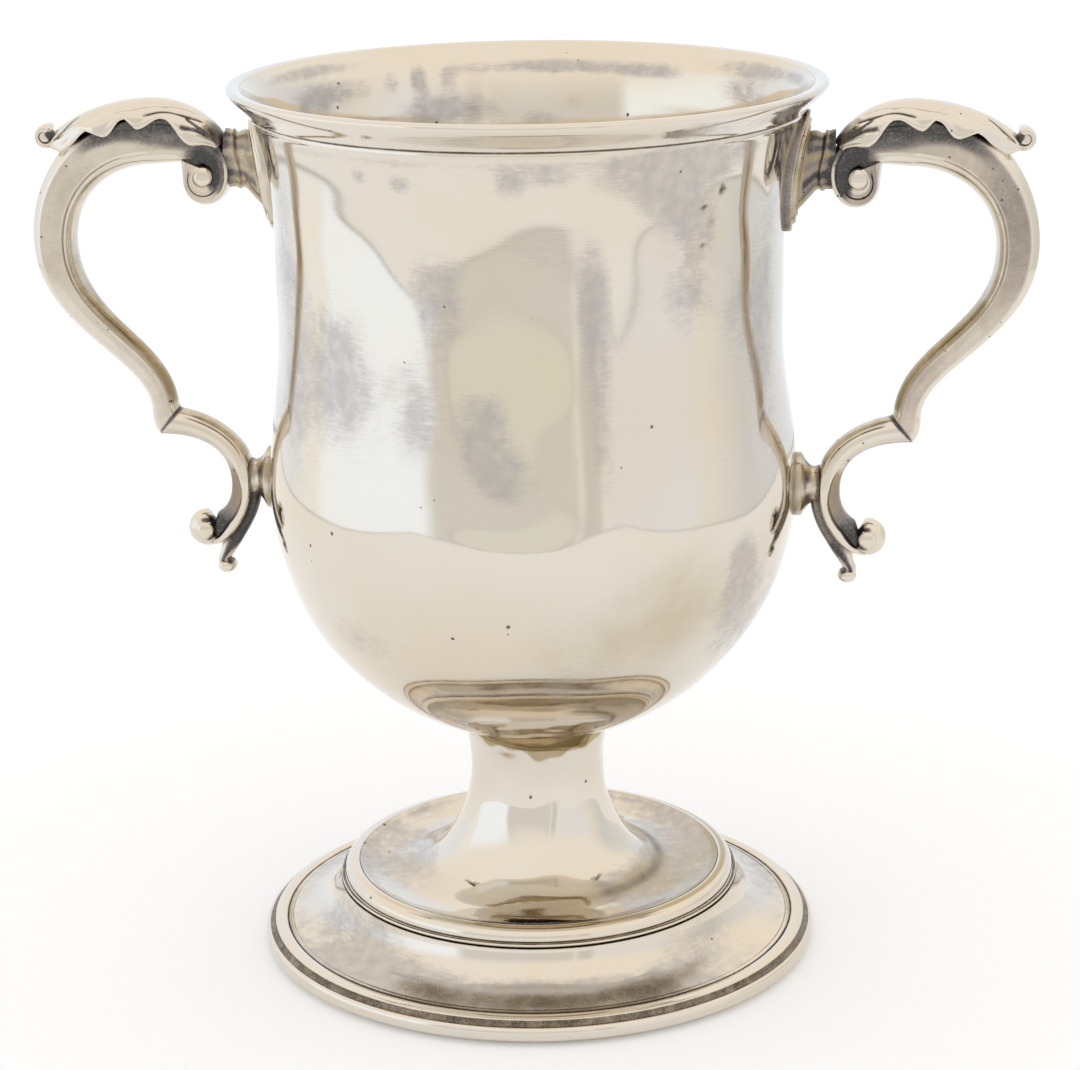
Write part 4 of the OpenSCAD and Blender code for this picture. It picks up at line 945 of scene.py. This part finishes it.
for word, side in SIDES:
    tail_oxide_and_shade = 0.85*tail_channel + (0.74 - 0.16*side)*tail_seat
    skin = masked(in_handle(side, tail_flat, tail_y), tail_oxide_and_shade, 0.3, 0.3*(1 + side)*tail_seat)
    knob_points, knob_angle, knob_tilt = lozenge(low_eye + at(-3.5, -7.2), 1.75, 1.25, 2.1, 0.5, side)
    knob_line = 0.8*spot(off_angle(knob_angle, 118), 0, 26)*ease(1.4*np.cos(knob_tilt))
    cast_piece(word, "tail_leaf", capped(skin), masked(knob_points, knob_line, 0.15))

# Lower sockets: a turned collar that carries the back of each lower scroll, its flange soldered to the
# bowl. It is a cone that hollows into a short throat, streaked brown by the solder.
LOW_FLANGE_R, LOW_FLANGE_T, LOW_THROAT_R = 5.7, 1.5, 3.3
low_z = eye_z + seat_w
low_face = np.interp(low_z, bowl_wall[:, 1], bowl_wall[:, 0])
low_run = eye_x - BACK_IN + 0.5
collar_profile = np.concatenate([
    at(LOW_FLANGE_R, low_face) + [[0, 0.75], [-0.05, 0.95], [-0.2, 1.05], [-0.32, 1.0], [-0.4, 1.1]],
    run([[LOW_FLANGE_R - 0.5, low_face + 1.2], [LOW_FLANGE_R - 1.3, low_face + LOW_FLANGE_T + 0.2],
         [LOW_THROAT_R + 0.1, low_run - 1.9], [LOW_THROAT_R - 0.05, low_run - 1.0]], 16),
    run([[LOW_THROAT_R - 0.05, low_run - 1.0], [LOW_THROAT_R - 0.1, low_run - 0.6],
         [LOW_THROAT_R + 0.05, low_run - 0.3], [LOW_THROAT_R + 0.2, low_run]], 6)[1:]])
collar_r, collar_x = collar_profile[:, :1], collar_profile[:, 1:]
collar_y, collar_up = collar_r*np.cos(ring_turn), collar_r*np.sin(ring_turn)
collar = np.stack([collar_x + 0*ring_turn, collar_y, low_z + collar_up], axis=-1)
collar_foot = collar[:1].copy()
collar_foot[..., 0] = bowl_x(collar_foot[..., 1], collar_foot[..., 2]) - 0.2
collar_rings = np.concatenate([collar_foot, collar])
collar_number = np.arange(len(collar_rings))[:, None] + 0*ring_turn
collar_oxide = sum(0.6*spot(collar_number, step, half) for step, half in [(0, 0.6), (4.3, 0.8), (27, 3)])
collar_oxide = collar_oxide + 0.75*(0.5 + 0.5*np.sin(7*ring_turn + 2))*spot(collar_number, 14, 7)
for word, side in SIDES:
    rings = masked(collar_rings*[side, 1, 1], collar_oxide, 0.35, 0.4 + 0.35*np.sin(3*ring_turn)**2)
    cast_piece(word, "lower_socket", capped(rings), made="turned")


# Stage: a white table that the cup stands on, in a white tent. The table's edge shows in the bowl's side
# as a fine line, and so do the cooler panels to the left and right of the camera and the rounded gap
# between them.
def flat_floor(name, low, high, z):
    """A level rectangle in metres."""
    mesh = bpy.data.meshes.new(name)
    corners = [(low[0], low[1], z), (high[0], low[1], z), (high[0], high[1], z), (low[0], high[1], z)]
    mesh.from_pydata(corners, [], [(0, 1, 2, 3)])
    made = bpy.data.objects.new(name, mesh)
    bpy.context.scene.collection.objects.link(made)
    return made


CARD_GLOW = 0.155


def paper(name, shade):
    """Dull white card of that shade, which shows a little brighter to the camera, to gloss and through
    glass."""
    material = bpy.data.materials.new(name)
    material.use_nodes = True
    tree = material.node_tree
    card = tree.nodes["Principled BSDF"]
    card.inputs["Base Color"].default_value = (shade, shade, shade, 1)
    card.inputs["Roughness"].default_value = 0.9
    card.inputs["Specular IOR Level"].default_value = 0.0
    card.inputs["Emission Color"].default_value = (shade, shade, shade, 1)
    ray = add_node(tree, "ShaderNodeLightPath").outputs
    seen = sums(tree, "ADD", ray["Is Camera Ray"], ray["Is Glossy Ray"])
    seen = sums(tree, "ADD", seen, ray["Is Transmission Ray"])
    tree.links.new(sums(tree, "MULTIPLY", seen, CARD_GLOW), card.inputs["Emission Strength"])
    return material


TABLE_X, TABLE_FRONT, TABLE_BACK, EDGE_W, FAR = 0.38, -0.40, 0.38, 0.012, 5
TOP_Z, EDGE_Z, FAR_Z = -0.0001, -0.0003, -0.0006
white_table, table_edge = paper("white_table", 0.9), paper("table_edge", 0.5)
table_top = flat_floor("table_top", (-TABLE_X, TABLE_FRONT), (TABLE_X, TABLE_BACK), TOP_Z)
table_far = flat_floor("table_far", (-FAR, -FAR), (FAR, FAR), FAR_Z)
table_far.visible_glossy = False
for part in (table_top, table_far):
    part.data.materials.append(white_table)
edge_strip = flat_floor("table_edge", (-TABLE_X - EDGE_W, TABLE_FRONT - EDGE_W),
                        (TABLE_X + EDGE_W, TABLE_BACK + EDGE_W), EDGE_Z)
edge_strip.data.materials.append(table_edge)
edge_strip.visible_camera = edge_strip.visible_diffuse = edge_strip.visible_shadow = False

world = bpy.data.worlds.new("white_tent")
bpy.context.scene.world = world
world.use_nodes = True
tree = world.node_tree
sky = tree.nodes["Background"]
direction = add_node(tree, "ShaderNodeTexCoord").outputs["Generated"]
way = add_node(tree, "ShaderNodeSeparateXYZ", {0: direction}).outputs
bearing = sums(tree, "ARCTAN2", way["X"], sums(tree, "MULTIPLY", way["Y"], -1.0))
panels = add_node(tree, "ShaderNodeValToRGB", {0: sums(tree, "MULTIPLY_ADD", bearing, 0.5/math.pi, 0.5)})
GAP, LEFT, LEFT_SEAM = (0.85, 0.84, 0.825), (1.16, 1.245, 1.36), (1.1, 1.11, 1.11)
BEHIND, RIGHT = (0.98, 1.04, 1.13), (0.99, 1.0, 1.05)
stops = [(-180, BEHIND), (-118, (1.0, 1.06, 1.15)), (-110, LEFT_SEAM), (-101, LEFT_SEAM), (-95, LEFT),
         (-42, LEFT), (-36, GAP), (23, GAP), (25.5, (1.0, 1.0, 0.99)), (28, (0.8, 0.79, 0.79)),
         (33.5, (0.81, 0.8, 0.8)), (36, (1.03, 1.03, 1.04)), (39, RIGHT), (76, RIGHT),
         (88, (1.0, 0.97, 0.91)), (112, (0.82, 0.83, 0.85)), (180, BEHIND)]
ramp = panels.color_ramp.elements
while len(ramp) < len(stops):
    ramp.new(1.0)
for mark, (degrees, colour) in zip(ramp, stops):
    mark.position = degrees/360 + 0.5
    mark.color = (*colour, 1)

# The gap's rounded opening: an oval in bearing and height of the direction, a little lighter and greener.
OVAL_MIDDLE, OVAL_HALF = (math.radians(-2.5), -0.158), (math.radians(27.5), 0.112)
OVAL_TONE, OVAL_EDGE = (0.91, 0.913, 0.86), (0.66, 0.65, 0.63)
ROOF, WHITE = (1.09, 1.04, 0.975), (1.0, 1.0, 1.0)
oval_parts = [sums(tree, "DIVIDE", sums(tree, "SUBTRACT", value, middle), half)
              for value, middle, half in zip((bearing, way["Z"]), OVAL_MIDDLE, OVAL_HALF)]
oval = sums(tree, "SQRT", sums(tree, "ADD", *[sums(tree, "MULTIPLY", p, p) for p in oval_parts]))
tent = tint(tree, soft_step(tree, oval, 0.93, 1.0, 1.0, 0.0), panels.outputs["Color"], OVAL_TONE)
outline = soft_step(tree, oval, 1.0, 1.1, 0.3, 0.0)
outline = sums(tree, "MULTIPLY", soft_step(tree, oval, 0.9, 1.0), outline)
tent = tint(tree, outline, tent, OVAL_EDGE)
tent = tint(tree, soft_step(tree, way["Z"], 0.2, 0.5), tent, ROOF)
ray = add_node(tree, "ShaderNodeLightPath").outputs
tent = tint(tree, ray["Is Diffuse Ray"], tent, WHITE)
tree.links.new(tint(tree, ray["Is Camera Ray"], tent, WHITE), sky.inputs["Color"])

# Camera: a little above the lip and six degrees to the right of the front.
CAMERA_OUT, CAMERA_UP, CAMERA_TURN = 0.5244, 0.2341, math.radians(6)
CAMERA_DOWN, CAMERA_YAW, CAMERA_ROLL = math.radians(16.67), math.radians(0.12), math.radians(-0.81)
LENS, SENSOR, NEAREST = 100.37, 36.0, 0.01
camera = bpy.data.objects.new("camera", bpy.data.cameras.new("camera"))
camera.data.lens, camera.data.sensor_width, camera.data.clip_start = LENS, SENSOR, NEAREST
spin = mathutils.Matrix.Rotation
stand = (CAMERA_OUT*math.sin(CAMERA_TURN), -CAMERA_OUT*math.cos(CAMERA_TURN), CAMERA_UP)
camera.matrix_world = (
    mathutils.Matrix.Translation(stand) @ spin(CAMERA_TURN - CAMERA_YAW, 4, "Z")
    @ spin(math.pi/2 - CAMERA_DOWN, 4, "X") @ spin(CAMERA_ROLL, 4, "Z"))
bpy.context.scene.collection.objects.link(camera)
bpy.context.scene.camera = camera
bpy.context.scene.view_settings.view_transform = "Standard"
